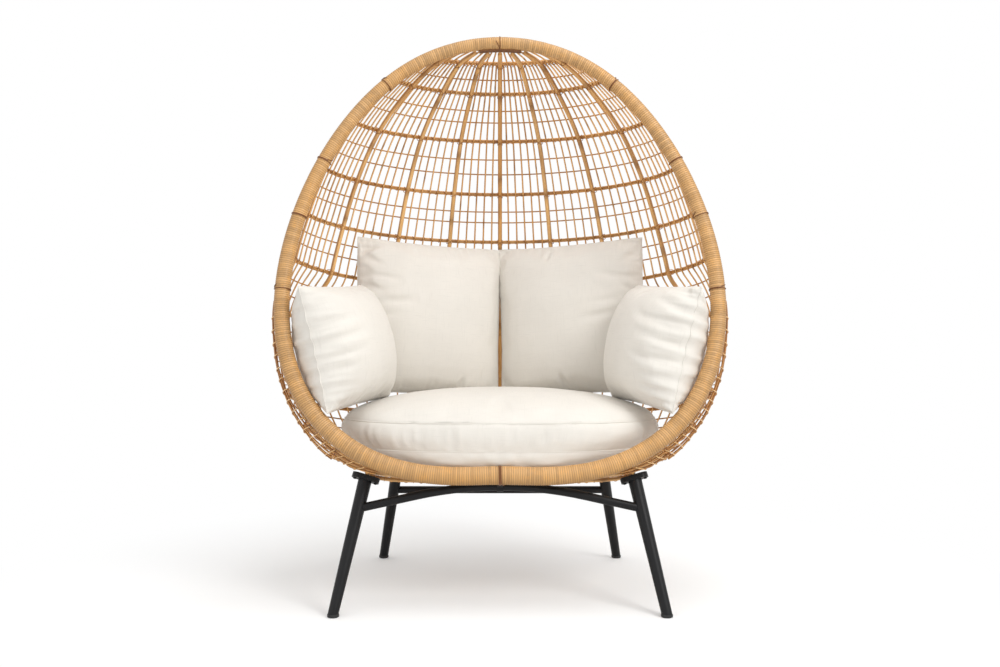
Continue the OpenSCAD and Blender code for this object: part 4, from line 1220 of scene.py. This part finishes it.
class EGGCHAIR_OT_seat(Piece, bpy.types.Operator):
    """Sew and fill the seat cushion"""
    bl_idname = "egg_chair.seat"
    bl_label = "Seat Cushion"

    def execute(self, context):
        top = seat_at(SEAM_Z)
        # Each ring's outline, height, share of that outline, draw and part of the cushion
        rings = [(seat_at(SEAT_Z), SEAT_Z, r, 14 * r, -1) for r in UNDERSIDE]
        for share, draw in BORDER:
            z = SEAT_Z + share * SEAT_BORDER
            rings.append((seat_at(z), z, 1, draw, 0))
        rings += [(top, SEAM_Z + SEAT_CROWN * (1 - r ** 2.4) ** 0.75, r, 3 * r, 1) for r in CROWN]
        bm = bmesh.new()
        cloth = bm.verts.layers.float_vector.new("cloth")
        spoke = bm.verts.layers.int.new("spoke")
        level = bm.verts.layers.int.new("level")
        first = ring = bmesh.ops.create_circle(bm, segments=SEAT_AROUND, radius=1)["verts"]
        for k, v in enumerate(ring):
            v[spoke] = k
        edges = ring_edges(ring)
        for i, (size, z, share, draw, part) in enumerate(rings):
            if i:
                edges, ring = next_ring(bm, edges)
            for v in ring:
                a = math.tau * v[spoke] / SEAT_AROUND + math.pi / 2
                c, d = math.cos(a), math.sin(a)
                power = 3 if d < 0 else 2.1
                q = (abs(c) ** power + abs(d) ** power) ** (-1 / power)
                x, y = (size[0] * share - draw) * q * c, size[1] + (size[2] * share - draw) * q * d
                v.co = Vector((x, y, z)) * MM
                v[cloth] = (x * MM, y * MM, 0.3 * part) if part else (v[spoke] / SEAT_AROUND * 2.6, z * MM, 0)
                v[level] = i
        for ends in (first, ring):
            bmesh.ops.pointmerge(bm, verts=ends, merge_co=sum((v.co for v in ends), Vector()) / SEAT_AROUND)
        bmesh.ops.recalc_face_normals(bm, faces=bm.faces)
        weights = [seat_weights((v.co.z / MM - SEAT_Z) / SEAT_BORDER, rings[v[level]][2], rings[v[level]][4])
                   for v in bm.verts]
        bm = fill_cover("seat_cushion", bm, *zip(*weights), 8, (0.8, 0.8, 0.5))
        cloth = bm.verts.layers.float_vector["cloth"]
        for v in bm.verts:
            v.co -= v.normal * seat_fold(v.co, v[cloth].z, top) * MM
        hold_inside(bm, "seat_cushion")
        for height, thick in ((WAIST, 2.2), (0.985, 3.2)):
            tree = BVHTree.FromBMesh(bm)
            z = SEAT_Z + height * SEAT_BORDER
            start = Vector((0, seat_at(z)[1], z)) * MM
            line = []
            for k in range(SEAT_AROUND * 2):
                a = math.tau * k / (SEAT_AROUND * 2)
                hit = tree.ray_cast(start, Vector((math.cos(a), math.sin(a), 0)))[0]
                line.append((hit or start) / MM)
            piping(bm, line, thick)
        cushion_piece(bm, "seat_cushion")
        return {"FINISHED"}


# ---- stage --------------------------------------------------------------------------------------

# Name, place, height of the point it is aimed at, share of the main lamp's power, and diameter
LAMPS = (("Key", (2.3, -2.6, 3.0), 0.75, 1, 1.7), ("Top", (0.5, -0.5, 3.9), 0.5, 0.52, 2.4),
         ("Fill", (-2.6, -2.2, 1.4), 0.7, 0.12, 2.2))
WHITE = (1, 1, 1)
FLOOR, FLOOR_R, FLOOR_LIFT, FADE_FROM, FADE_TO = (0.86, 0.86, 0.855), 30, 0.13, 0.7, 1.5


def lamp(name, location, aim, power, size):
    data = bpy.data.lights.new(name, "AREA")
    data.energy, data.shape, data.size = power, "DISK", size
    obj = bpy.data.objects.new(name, data)
    obj.location = location
    obj.rotation_euler = (Vector((0, 0, aim)) - Vector(location)).to_track_quat("-Z", "Y").to_euler()
    bpy.context.scene.collection.objects.link(obj)


def floor_material():
    """A pale floor that takes shadows near the chair and is plain white, as the camera sees it, further off."""
    m = Bench(bpy.data.materials, "Studio Floor", Roughness=0.9, Specular_IOR_Level=0.2)
    m.into(Base_Color=FLOOR)
    camera, seen = m.seen()
    x, y, _ = m.split(m.place())
    far = m.math("SQRT", m.math("ADD", m.math("POWER", x, 2.0), m.math("POWER", y, 2.0)))
    fade = m.add("ShaderNodeMapRange", {0: far, 1: FADE_FROM, 2: FADE_TO}, interpolation_type="SMOOTHSTEP")
    white = m.add("ShaderNodeEmission", {"Color": WHITE, "Strength": 1.0})
    lift = m.add("ShaderNodeEmission", {"Color": WHITE, "Strength": m.math("MULTIPLY", camera, FLOOR_LIFT)})
    surface = m.tree.nodes["Principled BSDF"].outputs[0]
    near = m.add("ShaderNodeAddShader", {0: surface, 1: lift.outputs[0]})
    share = m.math("MULTIPLY", fade.outputs[0], seen)
    both = m.add("ShaderNodeMixShader", {0: share, 1: near.outputs[0], 2: white.outputs[0]})
    m.surface(both, "Material Output")
    return m.made


def sky_world(strength):
    """Soft light from all round, in front of a plain white that only the camera sees."""
    w = Bench(bpy.data.worlds, "Studio")
    sky = w.tree.nodes["Background"]
    w.set(sky.inputs["Color"], WHITE)
    w.set(sky.inputs["Strength"], strength)
    plain = w.add("ShaderNodeBackground", {"Color": WHITE, "Strength": 1.0})
    both = w.add("ShaderNodeMixShader", {0: w.seen()[1], 1: sky.outputs[0], 2: plain.outputs[0]})
    w.surface(both, "World Output")
    return w.made


class EGGCHAIR_OT_stage(Piece, bpy.types.Operator):
    """Set the floor, the lamps, the sky and the camera"""
    bl_idname = "egg_chair.stage"
    bl_label = "Stage"

    def execute(self, context):
        scene, s = context.scene, context.scene.egg_chair_stage
        scene.view_settings.view_transform = "Standard"

        camera = bpy.data.objects.new("Camera", bpy.data.cameras.new("Camera"))
        camera.data.lens, camera.data.sensor_width, camera.data.clip_end = s.lens, 36, 100
        camera.location, camera.rotation_euler = (0, -s.distance, s.eye), (math.pi / 2, 0, 0)
        scene.collection.objects.link(camera)
        scene.camera = camera

        bm = bmesh.new()
        bmesh.ops.create_circle(bm, cap_ends=True, segments=64, radius=FLOOR_R)
        mesh = bpy.data.meshes.new("floor")
        bm.to_mesh(mesh)
        bm.free()
        mesh.materials.append(floor_material())
        floor = bpy.data.objects.new("floor", mesh)
        scene.collection.objects.link(floor)

        scene.world = sky_world(s.sky)
        for name, place, aim, share, size in LAMPS:
            lamp(name, place, aim, s.key * share, size)
        return {"FINISHED"}


# ---- panel and registration ---------------------------------------------------------------------

OPERATORS = (
    EGGCHAIR_OT_stage, EGGCHAIR_OT_rim, EGGCHAIR_OT_ties, EGGCHAIR_OT_ribs, EGGCHAIR_OT_rods, EGGCHAIR_OT_band,
    EGGCHAIR_OT_hoops, EGGCHAIR_OT_thin_hoops, EGGCHAIR_OT_lashings, EGGCHAIR_OT_base, EGGCHAIR_OT_seat,
    EGGCHAIR_OT_pillows,
)
GROUPS = {
    "egg_chair_cane": EggChairCane,
    "egg_chair_cushions": EggChairCushions,
    "egg_chair_base": EggChairBase,
    "egg_chair_stage": EggChairStage,
}


class EGGCHAIR_PT_panel(bpy.types.Panel):
    """Lists the chair's sizes, colours and pieces"""
    bl_idname = "EGGCHAIR_PT_panel"
    bl_label = "Egg Chair"
    bl_space_type = "VIEW_3D"
    bl_region_type = "UI"
    bl_category = "Egg Chair"

    def draw(self, context):
        for key, group in GROUPS.items():
            box = self.layout.box()
            for prop in group.__annotations__:
                box.prop(getattr(context.scene, key), prop)
        for operator in OPERATORS:
            self.layout.operator(operator.bl_idname)


CLASSES = (*GROUPS.values(), *OPERATORS, EGGCHAIR_PT_panel)


def register():
    for cls in CLASSES:
        bpy.utils.register_class(cls)
    for key, group in GROUPS.items():
        setattr(bpy.types.Scene, key, PointerProperty(type=group))


def unregister():
    for key in GROUPS:
        delattr(bpy.types.Scene, key)
    for cls in reversed(CLASSES):
        bpy.utils.unregister_class(cls)


def main():
    register()
    for operator in OPERATORS:
        getattr(bpy.ops.egg_chair, operator.bl_idname.split(".")[1])()


if __name__ == "__main__":
    main()
